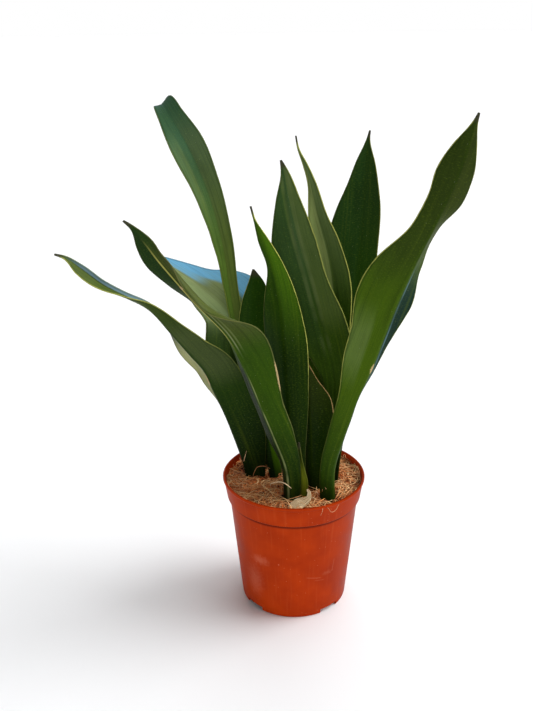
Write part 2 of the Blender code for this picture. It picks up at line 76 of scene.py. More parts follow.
# The hub under the middle of the floor, which flares up to it
HUB_RADIUS = 11.0
HUB_FLARE = 2.5
HOLLOW_INSET = 1.2
NOTCH_COUNT = 4
NOTCH_WIDTH = 20.0
NOTCH_TURN = 42.0
DRAIN_COUNT = 8
DRAIN_RADIUS = 4.0
DRAIN_CIRCLE = 31.0
DRAIN_SIDES = 32
CUTTER_DEPTH = 10.0
EDGE_ROUND = 0.8
FOOT_ROUND = 0.6
CORNER_ROUND = 0.9
# Slopes in the corners of the inside
INNER_SLOPE = 2.0
POT_STEPS = 192
# Edges sharper than this stay crisp
SHARP_ANGLE = 40.0
# Millimetres of arc on the pot's wall to one radian
ARC_PER_RADIAN = 57.0
CLAY_LIGHT = (168, 52, 5)
CLAY_DEEP = (150, 42, 3)
# Arc from the pot's front and height, then the width and height of a smudge, and its strength
POT_SMUDGES = (
    (-33, 60, 15, 8, 0.2),
    (-42, 34, 16, 26, 0.16),
    (-14, 60, 1.2, 1.2, 0.45),
    (34, 46, 10, 4, 0.1),
)
# Arc from the pot's front and height, then the tilt and length of a scratch, and its strength
POT_SCRATCHES = (
    (20, 44, -12, 18, 0.12),
    (41, 52, 84, 16, 0.1),
    (26, 40, -9, 12, 0.08),
)

# Coir that fills the pot: its edge and crown, its lumps and its fine roughness
COIR_EDGE = 116.0
COIR_CROWN = 117.5
CROWN_RADIUS = 56
LUMP_HEIGHT = 1.6
LUMP_SPACING = 11
ROUGH_HEIGHT = 2.0
ROUGH_SPACING = 3.2
# Grain of the bed's mesh, the height above which it is rough, and how far it sinks there
COIR_VOXEL = 1.6
COIR_TOP_FROM = 113
COIR_SINK = 1.2

# Loose fibres: the circle that they start in, the one that they stay in, and how far they keep off a leaf
FIBRE_CIRCLE = 61.0
FIBRE_LIMIT = 61.3
FIBRE_CLEARANCE = 0.5
FIBRE_STATIONS = 11
FEWEST_STATIONS = 5
# Spread of a fibre's whole bend, in radians
FIBRE_BEND = 2.3
# Leaves are cut at this height, or at the nearest row within reach, to see where fibres can lie
FIBRE_PLANE = 118
SECTION_ROWS = 60
SECTION_COLUMNS = 6
SECTION_REACH = 6
# Layers of loose fibre: how many, lift and arch above the coir, lengths, radii, and dark and light tones
FIBRE_LAYERS = (
    ("coir_fibres_low", 1300, (-1.2, 0.3), (0, 1.4), (6, 22), (0.3, 0.68), (84, 36, 15), (240, 136, 70)),
    ("coir_fibres_middle", 850, (-0.4, 1.1), (0, 2.6), (7, 26), (0.22, 0.46), (122, 58, 28), (255, 174, 104)),
    ("coir_fibres_top", 460, (0.3, 1.8), (0.6, 4.4), (9, 38), (0.15, 0.32), (182, 102, 52), (255, 222, 162)),
)
# Strands that stand out: radius and tone, then the route of each
HERO_FIBRES = (
    (0.45, 0.95, ((-21, -14, 117), (-18, -33, 131.5), (-12, -38, 135.5), (-6, -43, 135.7), (-2, -44, 132.5))),
    (0.28, 0.12, ((-38, -3, 117.5), (-36, -6, 127), (-32, -9, 134.5), (-26, -10.5, 135.8),
                  (-21, -12, 134.2))),
    (0.3, 0.5, ((-47, 27.7, 118), (-44, 1, 141.5), (-43, 2, 144.8))),
    (0.3, 0.3, ((-49.7, 29, 118), (-51.4, 33, 120), (-53.4, 38.6, 121))),
    (0.3, 0.4, ((25.5, -29.5, 118), (25.2, -36, 125), (25.2, -42, 130.7))),
    (0.3, 0.6, ((30.2, -27.5, 118), (29, -35, 126), (27.6, -42, 132))),
    (0.4, 0.9, ((15, -35.5, 118.6), (17, -38, 120), (20, -40.6, 119))),
    (0.4, 0.8, ((18.5, -29, 119.5), (20, -30, 121), (22.4, -30.3, 118.6))),
    (0.2, 0.25, ((28.3, -52.7, 120), (29.8, -60, 122.2), (32.3, -60, 118.8), (35.6, -57, 118.4),
                 (38.5, -53, 121), (40, -49, 122))),
    (0.2, 0.35, ((24.9, -54.4, 120), (24.9, -60, 122.4), (24.5, -63, 121.2), (22.9, -64, 117.5))),
)
STRAND_STATIONS = 24
STRAND_SIDES = 6

# Leaves: thickness at the midrib along the leaf, and at the margin
LEAF_THICKNESS = 6.0
THICKNESS_ALONG = ((0.0, 1.0), (0.15, 0.83), (0.45, 0.5), (0.9, 0.27), (1.0, 0.17))
MARGIN_THICKNESS = 0.9
# A round margin stands out by this share of the thickness
MARGIN_ROUND = 0.4
THIN_BLADE = 0.3
NARROWEST_HALF = 0.4
FLATTEST_CURL = 1e-4
# Rows up a blade, and columns to each side of its midrib
LEAF_ROWS = (150, 14)
SMALL_BLADE_ROWS = (60, 8)
# Rows lie closer together towards the tip, by this power
ROW_SPACING = 1.25
# Half the length that a midrib's direction is read over
DIRECTION_REACH = 0.5
# How far the margins wave, here and on the stiff scale leaf, the periods of the left and right waves, how
# far in from the margin they reach, and the length by the tip where they fade
RIPPLE = 0.5
STIFF_RIPPLE = 0.2
RIPPLE_PERIODS = (21, 27)
RIPPLE_REACH = 5
RIPPLE_FADE = 40

# One row for each station up a leaf's midrib:
# x, y and z of the midrib, half widths on its left and right, the compass angle and the rise that the
# leaf's inner face looks in, its keel, and how far its left and right halves curl up from the keel, which is
# said once where they are the same
LEAVES = {}
LEAVES["leaf_arching_left"] = (
    (-25, 22, 92, 9, 9, -70, 5, 20, 35),
    (-34, 22, 160, 9, 10, -70, 8, 20, 35),
    (-46, 25, 225, 7.2, 8, -75, 10, 15, 30),
    (-56, 31, 285, 5.6, 8, -75, 15, 15, 25),
    (-64, 38, 335, 8.7, 10.6, -75, 20, 12, 20),
    (-77, 45, 380, 13, 13.5, -80, 25, 12, 10),
    (-93, 54, 414, 15.5, 15.5, -85, 35, 12, 10),
    (-105, 64, 433, 11, 12.5, -110, 50, 12, 10),
    (-115, 84, 443, 8, 11, -160, 60, 12, 15),
    (-122, 110, 438, 0.6, 0.6, -160, 60, 10, 10),
)
LEAVES["leaf_folded_left"] = (
    (-4, -38, 92, 8, 8, 80, 0, 25, 15, 25),
    (-6, -39, 150, 12, 9, 70, 0, 25, 12, 20),
    (-16, -43, 182, 16.5, 12, 65, 0, 25, 10, 5),
    (-26, -47, 211, 18, 13, 60, 5, 25, 5),
    (-38, -51, 245, 25.5, 13, 55, 10, 25, -5, 0),
    (-52, -55, 276, 33, 12, 50, 25, 25, -20, 0),
    (-76, -60, 306, 20.5, 9, 60, 30, 22, -110, 5),
    (-91, -61, 325, 14, 11, 80, 15, 18, -130, 5),
    (-104, -62, 342, 6.5, 12, 90, 10, 12, -50, 0),
    (-113, -62, 355, 5.5, 8, 90, 5, 10, 0),
    (-122, -62, 366, 2.5, 1, 90, 0, 10, 0),
    (-128, -62, 372, 0.6, 0.6, 90, 0, 10, 0),
)
LEAVES["leaf_low_left"] = (
    (-40, 7, 92, 12, 8, 52, 0, 25, 15, 30),
    (-43, 7, 123, 17, 6, 52, 0, 25, 12, 30),
    (-51, 7, 152, 27, 2.5, 52, 0, 25, 8, 20),
    (-64, 7, 187, 33, 3.5, 54, 10, 25, 8, -10),
    (-71, 6, 205, 31, 13, 55, 15, 25, 9, -24),
    (-78, 4, 223, 28, 17, 55, 20, 25, 10, -30),
    (-91, 2, 240.5, 22, 25, 53, 30, 25, 10, -28),
    (-104, 0, 258, 17, 15, 50, 40, 25, 10, -20),
    (-126, -3, 285, 8.5, 6, 30, 75, 30, 20),
    (-140, -4, 293, 7.5, 4, -75, 75, 30, 20),
    (-160, -6, 305, 9.5, 4, -90, 55, 25, 25),
    (-178, -8, 320.5, 7.5, 3.5, -90, 45, 15, 15),
    (-190, -9, 330, 2, 1.5, -90, 45, 15, 15),
    (-198, -10, 333, 0.6, 0.6, -90, 45, 10, 10),
)
LEAVES["leaf_broad_back"] = (
    (-37, 26, 92, 8, 8, -60, 0, 20, 30),
    (-45, 29, 140, 12, 12, -60, 5, 15, 30),
    (-54, 32, 184, 19, 16, -65, 10, 15, 20),
    (-58, 38, 228, 27, 22, -70, 20, 15, 15),
    (-58, 48, 258, 26, 39, -75, 40, 12, 10),
    (-76, 62, 274, 24, 37, -75, 60, 10, 5),
    (-90, 69, 282.5, 20, 23, -78, 66, 10, 5),
    (-104, 74, 291, 16, 16, -80, 70, 10, 5),
    (-136, 80, 311, 0.6, 0.6, -90, 70, 10, 5),
)
LEAVES["leaf_short_left"] = (
    (-15, 3, 92, 8, 5, 90, 0, 20, 30),
    (-18, 4, 118, 9, 5, 90, 0, 20, 30),
    (-27, 10, 172, 12, 9, 90, 5, 20, 25),
    (-37.5, 12, 244, 17, 12, 90, 5, 15, 20),
    (-36.5, 15, 284.5, 15, 8, 90, 5, 10, 10),
    (-35.2, 17, 301, 10, 3.5, 90, 5, 10, 10),
    (-34.5, 18, 312, 0.6, 0.6, 90, 5, 10, 10),
)
LEAVES["leaf_front"] = (
    (3, -29, 92, 9, 9, 85, 0, 25, 30),
    (-1, -28, 150, 12, 12, 80, 0, 20, 20, 30),
    (-5, -26, 216, 18, 19, 78, 0, 14, 12, 25),
    (-8, -24, 263, 19, 20, 80, 0, 16, 15, 20),
    (-11, -22, 298, 14, 14, 90, 0, 15, 10),
    (-17, -21, 325, 9, 5, 90, 0, 15, 10),
    (-25, -21, 348, 4, 4, 90, 0, 15, 10),
    (-31, -20, 363, 0.8, 0.8, 90, 0, 10, 10),
    (-34, -20, 374, 0.5, 0.5, 90, 0, 10, 10),
)
LEAVES["leaf_middle"] = (
    (30, -4, 92, 9, 9, -90, 0, 20, 20),
    (33, -5, 162, 12, 12, -90, 0, 15, 15),
    (35, -4, 214, 9, 19, -95, 0, 12, 15),
    (30, -4, 244, 17, 24, -98, 0, 12, 15),
    (22, -4, 274, 30, 23, -98, 0, 10, 10),
    (13, -4, 308, 29, 16.5, -96, 0, 10, 10),
    (3, -2, 343, 22, 15.5, -92, 0, 10, 10),
    (-4, -1, 375, 11, 10, -90, 0, 10, 10),
    (-8, 0, 398, 2, 4, -90, 0, 10, 10),
    (-10, 0, 407, 0.6, 0.6, -90, 0, 10, 10),
)
LEAVES["leaf_slender"] = (
    (24, 8, 92, 9, 9, -90, 0, 20, 20),
    (32, 8, 188, 21, 12, -90, 0, 15, 10, 15),
    (37, 9, 248, 26, 11.8, -90, 0, 15, 10, 15),
    (34, 13, 303, 18, 15.5, -90, 0, 15, 15),
    (28, 15, 333, 16, 14, -90, 0, 20, 20),
    (21, 18, 357, 10, 9, -90, 0, 20, 20),
    (15, 21, 381, 3, 6, -90, 0, 20, 20),
    (9, 24, 400, 1.5, 3, -90, 0, 20, 20),
    (4, 25, 413, 0.6, 0.8, -90, 0, 20, 20),
    (2, 25, 423, 0.5, 0.5, -90, 0, 20, 20),
)
LEAVES["leaf_upright_back"] = (
    (29, 19, 92, 8, 7, -90, 0, 20, 20),
    (39, 21, 188, 14, 10.5, -90, 0, 15, 20),
    (53, 30, 266, 32, 14, -90, 0, 8, 8),
    (58, 33, 327, 31.5, 15, -90, 0, 8, 8),
    (60, 38, 363, 22.5, 14.8, -90, 0, 10, 10),
    (60.5, 39, 381, 15, 12, -90, 0, 10, 10),
    (61, 40, 398, 9, 8.5, -90, 0, 10, 10),
    (63, 41, 419, 1.2, 1.2, -90, 0, 10, 10),
    (64, 41, 425, 0.5, 0.5, -90, 0, 10, 10),
)
LEAVES["leaf_young"] = (
    (19, -20, 92, 9, 9, 75, 0, 25, 30),
    (17, -20, 150, 19, 13, 70, 0, 20, 15),
    (15, -19, 190, 20, 13, 70, 0, 15, 15),
    (13.5, -18.5, 207, 17.5, 11, 72, 0, 15, 12),
    (12, -18, 222, 9, 9, 75, 0, 15, 10),
    (9.5, -16.5, 243, 0.6, 0.6, 80, 0, 10, 10),
)
LEAVES["leaf_right"] = (
    (33, -34, 92, 8, 8, 115, 0, 25, 25),
    (34, -37, 152, 8, 10.5, 125, 0, 25, 20),
    (43, -41, 187, 6, 13, 125, 0, 25, 10),
    (52, -44, 218, 5, 15.5, 125, 0, 25, 0, 5),
    (63, -48, 249, 6.5, 23.5, 112, 0, 25, -20, 5),
    (71, -52, 276, 11, 26, 111, 0, 25, -25, 3),
    (79, -56, 303, 16.5, 31.5, 110, 0, 25, -30, 0),
    (89, -60, 330, 14, 30, 120, 0, 25, -10, 0),
    (103, -65, 364, 10, 16, 125, 0, 25, 0, 5),
    (112, -66, 386, 15, 14, 100, 5, 14, 5),
    (119, -67, 405, 13, 16, 95, 5, 12, 5),
    (125, -66, 424, 7, 11, 90, 0, 10, 5),
    (130, -63, 442, 1.5, 2, 90, 0, 10, 5),
    (132, -62, 448, 0.6, 0.6, 90, 0, 10, 10),
)

SMALL_BLADES = {}
SMALL_BLADES["scale_leaf"] = (
    (7.5, -33, 92, 4, 1.5, 85, 0, 5, 10),
    (7.5, -33, 117, 4, 1.5, 85, 0, 5, 10),
    (8, -33, 131, 4.5, 1.5, 85, 0, 5, 10),
    (6.5, -32.5, 143, 3.5, 1.5, 85, 0, 5, 10),
    (5.5, -32, 155, 1.8, 1.2, 85, 0, 5, 10),
    (4.5, -32, 171, 0.6, 0.6, 85, 0, 5, 10),
)
SMALL_BLADES["dried_sheath"] = (
    (-3, -51, 111, 2, 2, -90, 30, 0, 20),
    (-1, -50, 117, 3.5, 3.5, -90, 30, 0, 25),
    (4, -49, 120, 4.5, 4.5, -90, 30, 0, 30),
    (9, -48, 121.5, 4, 4, -90, 30, 0, 30),
    (13, -47, 125, 2, 2, -90, 20, 0, 20),
    (13.5, -46, 129, 1.2, 1.2, -90, 10, 0, 10),
    (12, -45.5, 132.5, 0.6, 0.6, -90, 10, 0, 10),
)

# Looks of each leaf, in screen colours: its greens low, middle and top, how strong its lengthwise streaks
# are, and how plain its left and right margin lines are, which begin margin_from up the leaf.
# Each of lines is a painted highlight, a pale stripe where a keel or groove catches the light: distance from
# the midrib, half width, tint, strength, start and end.
# Each of sides tints one half: which, tint, strength, start and end, and the share of the half that stays
# plain next to the midrib. Some of these tints are a half's own colour and some are painted sheen, reflection
# and shade, as said at each leaf. The inner face shows inner_share of it. fold is the start and end of a
# crease.
# Each of scars is a corky spot: distance from the foot, the margin that it lies by or the keel, distance
# from that, half length and half width. Starts and ends are shares of the leaf's length.
Look = namedtuple(
    "Look", "low middle top streak margins lines sides scars fold margin_tint margin_from inner_share",
    defaults=((), (), (), None, (178, 180, 90), 60, 1.0))
LEAF_LOOKS = {
    "leaf_arching_left": Look(
        (72, 96, 20), (80, 106, 38), (52, 84, 58), 0.65, (0.2, 0.1),
        sides=(("left", (112, 128, 78), 0.25, 0.66, 0.82, 0.3),
               ("right", (108, 98, 56), 0.2, 0.25, 0.85, 0))),
    "leaf_folded_left": Look(
        (18, 38, 2), (46, 74, 6), (28, 50, 18), 0.45, (0.2, 0.2),
        margin_tint=(168, 164, 104), fold=(0.6, 0.9),
        # The lines are painted highlights, on the keel low down and by the left margin higher up; the dark
        # tint on the right half low down is painted shade where that half is seen edge-on.
        lines=((0, 0.6, (150, 158, 104), 0.6, 0.04, 0.5), (-3, 1.0, (146, 156, 110), 0.5, 0.54, 0.74),
               (-6.5, 1.3, (132, 146, 92), 0.3, 0.56, 0.7)),
        sides=(("left", (82, 88, 40), 0.55, 0.6, 0.9, 0), ("right", (10, 24, 4), 0.9, 0.0, 0.54, 0)),
        scars=((148, "left", 0, 17, 1.1), (249, "keel", 0, 2.6, 0.9))),
    "leaf_low_left": Look(
        (12, 30, 3), (32, 56, 9), (68, 84, 34), 0.5, (0.55, 0.2), margin_from=130,
        # The pale tint low on the right half is painted light, as if bounced up from the floor, and the blue
        # tint near the tip is a painted reflection of the sky.
        sides=(("right", (158, 160, 108), 0.9, 0.2, 0.56, 0), ("left", (84, 94, 58), 0.5, 0.42, 0.62, 0),
               ("right", (124, 158, 182), 0.6, 0.66, 0.95, 0)),
        scars=((128, "keel", 2, 9, 1.6),)),
    "leaf_broad_back": Look(
        (30, 52, 12), (40, 62, 22), (112, 124, 84), 0.5, (0.2, 0.2), inner_share=0.2,
        # The blue tints on the right half are a painted reflection of the sky on the upturned face.
        sides=(("right", (92, 150, 186), 0.9, 0.56, 1.0, 0.42),
               ("right", (92, 150, 186), 0.85, 0.8, 1.0, 0.08), ("left", (100, 118, 76), 0.45, 0.6, 1.0, 0))),
    "leaf_short_left": Look(
        (14, 32, 4), (24, 50, 4), (30, 60, 8), 0.35, (0.1, 0.5), margin_from=120,
        sides=(("left", (72, 112, 12), 0.8, 0.12, 0.32, 0),)),
    "leaf_front": Look(
        (14, 28, 1), (20, 40, 1), (54, 86, 6), 0.35, (0.8, 0.2), margin_from=110,
        sides=(("right", (24, 54, 14), 0.4, 0.4, 0.9, 0),)),
    "leaf_middle": Look(
        (16, 32, 1), (44, 68, 6), (56, 80, 44), 0.6, (0.1, 0.45), margin_from=110,
        # The lines are painted highlights either side of the midrib, and the grey-olive right half is a
        # painted reflection.
        lines=((-3, 2.6, (118, 130, 84), 0.22, 0.5, 1.0), (3, 2.6, (118, 130, 84), 0.22, 0.5, 1.0)),
        sides=(("left", (34, 60, 20), 0.6, 0.5, 1.0, 0), ("right", (80, 96, 46), 0.6, 0.56, 1.0, 0))),
    "leaf_slender": Look(
        (26, 48, 1), (44, 70, 5), (92, 110, 64), 0.8, (0.3, 0.7), margin_from=110,
        sides=(("left", (128, 142, 84), 0.7, 0.5, 0.92, 0),)),
    "leaf_upright_back": Look(
        (42, 72, 2), (32, 62, 3), (28, 52, 12), 0.3, (0.1, 0.3), margin_from=110,
        sides=(("left", (26, 54, 20), 0.4, 0.55, 1.0, 0),)),
    "leaf_young": Look(
        (28, 48, 1), (18, 38, 1), (34, 46, 6), 0.3, (0.9, 0.2), margin_tint=(150, 122, 78)),
    "leaf_right": Look(
        (38, 62, 4), (62, 88, 8), (38, 54, 8), 0.45, (0.45, 0.6), margin_from=110,
        # The line is a painted highlight in the teal strip; the teal tint on the left half beyond the keel is
        # a painted reflection of the sky, and the pale patch on the right half is a painted sheen.
        lines=((-3.5, 1.2, (112, 150, 160), 0.4, 0.4, 0.66),),
        sides=(("left", (18, 42, 38), 0.95, 0.2, 0.66, 0), ("left", (54, 62, 24), 0.5, 0.7, 1.0, 0),
               ("right", (42, 54, 16), 0.4, 0.66, 1.0, 0), ("right", (120, 140, 84), 0.3, 0.4, 0.54, 0.3)),
        scars=((160, "keel", -1, 6, 1.2),)),
    "scale_leaf": Look(
        (92, 104, 14), (120, 130, 26), (40, 54, 4), 0.3, (0.9, 0.9)),
}
# Spread of a tint over the midrib, as a share of the half's width
SIDE_BLUR = 0.14
# A leaf's two faces, and the leaves one after another, read their noise this far apart
FACE_SHIFT = 37.0
LEAF_SHIFT = (31.0, 17.0)
SCALE_SEED = 21
SHEATH_SEED = 22
PALE_STREAK = (118, 136, 30)
DEEP_STREAK = (8, 22, 2)
HATCH = (120, 144, 34)
FINE_STREAK = (14, 30, 4)
MARGIN_SHADE = (20, 38, 8)
CREASE = (176, 172, 88)
FLECK = (180, 190, 150)
CORK = (176, 154, 110)
DRY_TIP = (58, 58, 42)
FOOT_SHADE = (8, 18, 3)


def running_length(points):
    """Length along a line from its first point to each of its points."""
    return np.concatenate([[0], np.cumsum(np.linalg.norm(np.diff(points, axis=0), axis=1))])


def through(knots, values, at):
    """A smooth curve through the stations, read at the given lengths."""
    slope = np.gradient(values, knots, axis=0)
    i = np.clip(np.searchsorted(knots, at, side="right") - 1, 0, len(knots) - 2)
    span = (knots[i + 1] - knots[i])[:, None]
    s = (at[:, None] - knots[i][:, None]) / span
    start = (2 * s**3 - 3 * s**2 + 1) * values[i] + (s**3 - 2 * s**2 + s) * span * slope[i]
    end = (3 * s**2 - 2 * s**3) * values[i + 1] + (s**3 - s**2) * span * slope[i + 1]
    return start + end


def unit(vectors):
    return vectors / np.linalg.norm(vectors, axis=-1, keepdims=True)


def direction(compass, rise):
    """A direction in the plant's frame. Compass 0 is its right and 90 its back."""
    a, e = np.radians(compass), np.radians(rise)
    return np.stack([np.cos(a) * np.cos(e), np.sin(a) * np.cos(e), np.sin(e)], -1)


def leaf_grid(stations, rows, half_columns):
    """Middle surface of a leaf: a grid of points from its foot to its tip and from margin to margin."""
    table = np.array([row if len(row) == 10 else (*row, row[-1]) for row in stations], float)
    spine = table[:, :3]
    knots = running_length(spine)
    look = direction(table[:, 5], table[:, 6])
    values = np.concatenate([spine, look, table[:, 3:5], np.radians(table[:, 7:10])], 1)
    length = knots[-1]
    at = length * (1 - (1 - np.linspace(0, 1, rows + 1)) ** ROW_SPACING)
    read = through(knots, values, at)
    midrib = read[:, :3]
    ahead = through(knots, values, np.minimum(at + DIRECTION_REACH, length))[:, :3]
    behind = through(knots, values, np.maximum(at - DIRECTION_REACH, 0))[:, :3]
    along = unit(ahead - behind)
    inward = unit(read[:, 3:6] - (read[:, 3:6] * along).sum(1, keepdims=True) * along)
    across = np.cross(along, inward)
    share = np.linspace(0, 1, half_columns + 1)[None, :]
    keel = read[:, 8:9]
    halves = []
    for side, width, curl in ((-1, read[:, 6:7], read[:, 9:10]), (1, read[:, 7:8], read[:, 10:11])):
        curl = np.where(abs(curl) < FLATTEST_CURL, FLATTEST_CURL, curl)
        width = np.maximum(width, NARROWEST_HALF)
        out = (np.sin(keel + curl * share) - np.sin(keel)) / curl * width * side
        up = (np.cos(keel) - np.cos(keel + curl * share)) / curl * width
        halves.append(midrib[:, None] + across[:, None] * out[..., None] + inward[:, None] * up[..., None])
    grid = np.concatenate([halves[0][:, :0:-1], halves[1]], 1)
    level = (spine[0, 2] - grid[0, :, 2:3]) / along[0, 2]
    grid[0] += level * along[0]
    return grid, along, at / length


def blade_thickness(share, half_columns, scale):
    """Thickness of a blade at each grid point: thick at the midrib and the foot, thin at the margins."""
    lengths, factors = zip(*THICKNESS_ALONG)
    middle = LEAF_THICKNESS * scale * np.interp(share, lengths, factors)
    middle = np.maximum(middle, MARGIN_THICKNESS)[:, None]
    t = np.linspace(-1, 1, 2 * half_columns + 1)[None, :]
    return MARGIN_THICKNESS + (middle - MARGIN_THICKNESS) * (1 - t**2)


def wall_radius(height):
    """Outer radius of the pot's tapering body at a height."""
    return FOOT_RADIUS + (SHOULDER_RADIUS - FOOT_RADIUS) * (height / BAND_FOOT)


def band_radius(height):
    """Outer radius of the band under the rim at a height."""
    share = (height - POT_HEIGHT + BAND_HEIGHT) / (BAND_HEIGHT - RIM_LIP_HEIGHT)
    return BAND_FOOT_RADIUS + (RIM_RADIUS - BAND_INSET - BAND_FOOT_RADIUS) * share


def pot_outside():
    """From the inner edge of the rim, over it and down to the foot, then in under the floor."""
    return [
        (RIM_RADIUS - RIM_INSET, POT_HEIGHT),
        (RIM_RADIUS - EDGE_ROUND, POT_HEIGHT),
        (RIM_RADIUS, POT_HEIGHT - EDGE_ROUND),
        (RIM_RADIUS, LIP_FOOT + EDGE_ROUND),
        (band_radius(LIP_FOOT), LIP_FOOT),
        (band_radius(BAND_FOOT + EDGE_ROUND), BAND_FOOT + EDGE_ROUND),
        (BAND_FOOT_RADIUS - EDGE_ROUND, BAND_FOOT),
        (SHOULDER_RADIUS, BAND_FOOT - FOOT_ROUND),
        (wall_radius(FLOOR_TOP), FLOOR_TOP),
        (FOOT_RADIUS, FOOT_ROUND),
        (FOOT_RADIUS - FOOT_ROUND, 0),
        (FOOT_RADIUS - WALL, 0),
        (FOOT_RADIUS - WALL, FLOOR_HEIGHT),
        (HUB_RADIUS + HUB_FLARE, FLOOR_HEIGHT),
        (HUB_RADIUS, 0),
        (0, 0),
    ]


def pot_inside():
    """From the middle of the floor, out and up the inner wall to the rim."""
    shoulder = BAND_FOOT - FOOT_ROUND
    return [
        (0, FLOOR_THICKNESS),
        (HUB_RADIUS - HOLLOW_INSET, FLOOR_THICKNESS),
        (HUB_RADIUS + HUB_FLARE - HOLLOW_INSET, FLOOR_TOP),
        (wall_radius(FLOOR_TOP) - WALL - INNER_SLOPE, FLOOR_TOP),
        (wall_radius(FLOOR_TOP + INNER_SLOPE) - WALL, FLOOR_TOP + INNER_SLOPE),
        (SHOULDER_RADIUS - WALL, shoulder),
        (band_radius(shoulder + INNER_SLOPE) - WALL, shoulder + INNER_SLOPE),
        (band_radius(LIP_FOOT) - WALL, LIP_FOOT),
        (RIM_RADIUS - RIM_INSET, POT_HEIGHT),
    ]


def linear(channel):
    value = channel / 255
    return value / 12.92 if value <= 0.04045 else ((value + 0.055) / 1.055) ** 2.4


def colour(screen):
    return (*[linear(c) for c in screen], 1)


class Nodes:
    """The nodes of a material or of the world."""

    def __init__(self, owner):
        owner.use_nodes = True
        self.tree = owner.node_tree

    def node(self, kind, inputs=None, **settings):
        node = self.tree.nodes.new(kind)
        for key, value in settings.items():
            setattr(node, key, value)
        for key, value in (inputs or {}).items():
            self.feed(node.inputs[key], value)
        return node

    def feed(self, socket, value):
        if isinstance(value, bpy.types.NodeSocket):
            self.tree.links.new(value, socket)
        else:
            socket.default_value = value


class Material(Nodes):
    """A material, with short calls for the nodes that the looks are made from."""

    def __init__(self, name, roughness, specular):
        self.material = bpy.data.materials.new(name)
        super().__init__(self.material)
        self.surface("Roughness", roughness)
        self.surface("Specular IOR Level", specular)

    def surface(self, socket, value):
        self.feed(self.tree.nodes["Principled BSDF"].inputs[socket], value)

    def attribute(self, name):
        return self.node("ShaderNodeAttribute", attribute_name=name).outputs["Fac"]

    def place(self):
        """Place on the object in millimetres."""
        metres = self.node("ShaderNodeTexCoord").outputs["Object"]
        return self.stretch(metres, (1000, 1000, 1000))

    def stretch(self, vector, factors):
        return self.node("ShaderNodeVectorMath", {0: vector, 1: factors}, operation="MULTIPLY").outputs[0]

    def combine(self, x, y, z):
        return self.node("ShaderNodeCombineXYZ", {"X": x, "Y": y, "Z": z}).outputs[0]

    def math(self, operation, a, b=0.0):
        return self.node("ShaderNodeMath", {0: a, 1: b}, operation=operation).outputs[0]

    def plus(self, a, b):
        return self.math("ADD", a, b)

    def minus(self, a, b):
        return self.math("SUBTRACT", a, b)

    def times(self, a, b):
        return self.math("MULTIPLY", a, b)

    def over(self, a, b):
        return self.math("DIVIDE", a, b)

    def distance(self, a, b):
        return self.math("SQRT", self.plus(self.times(a, a), self.times(b, b)))

    def noise(self, vector, scale, detail=3, roughness=0.6, distortion=0.0):
        """Noise at one scale, or at a scale of its own along each axis."""
        if isinstance(scale, tuple):
            vector, scale = self.stretch(vector, scale), 1.0
        inputs = {"Vector": vector, "Scale": scale, "Detail": detail, "Roughness": roughness,
                  "Distortion": distortion}
        return self.node("ShaderNodeTexNoise", inputs).outputs["Fac"]

    def dots(self, vector, scale, edge, full):
        """A mask of scattered dots, nothing at the edge and full this near to the middle."""
        cells = self.node("ShaderNodeTexVoronoi", {"Vector": self.stretch(vector, scale), "Scale": 1.0})
        return self.step(cells.outputs["Distance"], edge, full)

    def step(self, value, low, high, to_low=0.0, to_high=1.0):
        """A smooth step of the value between two limits."""
        inputs = {"Value": value, "From Min": low, "From Max": high, "To Min": to_low, "To Max": to_high}
        return self.node("ShaderNodeMapRange", inputs, interpolation_type="SMOOTHSTEP").outputs["Result"]

    def mix(self, factor, a, b):
        a, b = (colour(c) if isinstance(c, tuple) else c for c in (a, b))
        mixed = self.node("ShaderNodeMix", {"Factor": factor, "A": a, "B": b}, data_type="RGBA")
        return mixed.outputs["Result"]

    def tint(self, body, mask, strength, shade):
        """The body's colour, and over it another where the mask is."""
        return self.mix(self.times(mask, strength), body, shade)

    def bump(self, height, distance, strength):
        inputs = {"Height": height, "Distance": distance * MM, "Strength": strength}
        self.surface("Normal", self.node("ShaderNodeBump", inputs).outputs["Normal"])


class LeafMaterial(Material):
    """A material that knows its place on the leaf, in millimetres and as shares of the leaf."""

    def __init__(self, name, seed):
        super().__init__(name, roughness=0.4, specular=0.04)
        for key in ("along", "to_tip", "share", "across", "to_margin", "half", "inner"):
            setattr(self, key, self.attribute(key))
        flat = self.combine(self.across, self.along, self.times(self.inner, FACE_SHIFT))
        shift = (seed * LEAF_SHIFT[0], seed * LEAF_SHIFT[1], 0)
        self.plane = self.node("ShaderNodeVectorMath", {0: flat, 1: shift}).outputs[0]

    def stretch_mask(self, start, end):
        """A mask over a stretch of the leaf's length, with soft ends."""
        rise = self.step(self.share, start - 0.05, start + 0.05)
        return self.times(rise, self.step(self.share, end + 0.05, end - 0.05))

    def half_mask(self, side):
        """A mask over the left or the right half of the leaf."""
        return self.step(self.across, 1.0, -1.0) if side == "left" else self.step(self.across, -1.0, 1.0)


def add_object(name, data):
    obj = bpy.data.objects.new(name, data)
    bpy.context.scene.collection.objects.link(obj)
    return obj


def add_mesh(name, points, faces, smooth=True):
    mesh = bpy.data.meshes.new(name)
    mesh.from_pydata([tuple(p) for p in points], [], faces)
    if smooth:
        mesh.shade_smooth()
    return add_object(name, mesh)


def add_shape(name, shape):
    mesh = bpy.data.meshes.new(name)
    shape.to_mesh(mesh)
    shape.free()
    return add_object(name, mesh)


def write_attribute(obj, name, values):
    layer = obj.data.attributes.new(name, "FLOAT", "POINT")
    layer.data.foreach_set("value", np.asarray(values, np.float32).ravel())


def dress(obj, material, slot, *nodes):
    """Gives a piece its material, and lets it stand for the nodes of the solid model."""
    obj.data.materials.clear()
    obj.data.materials.append(material)
    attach(obj, "root")
    if nodes:
        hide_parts(*nodes)


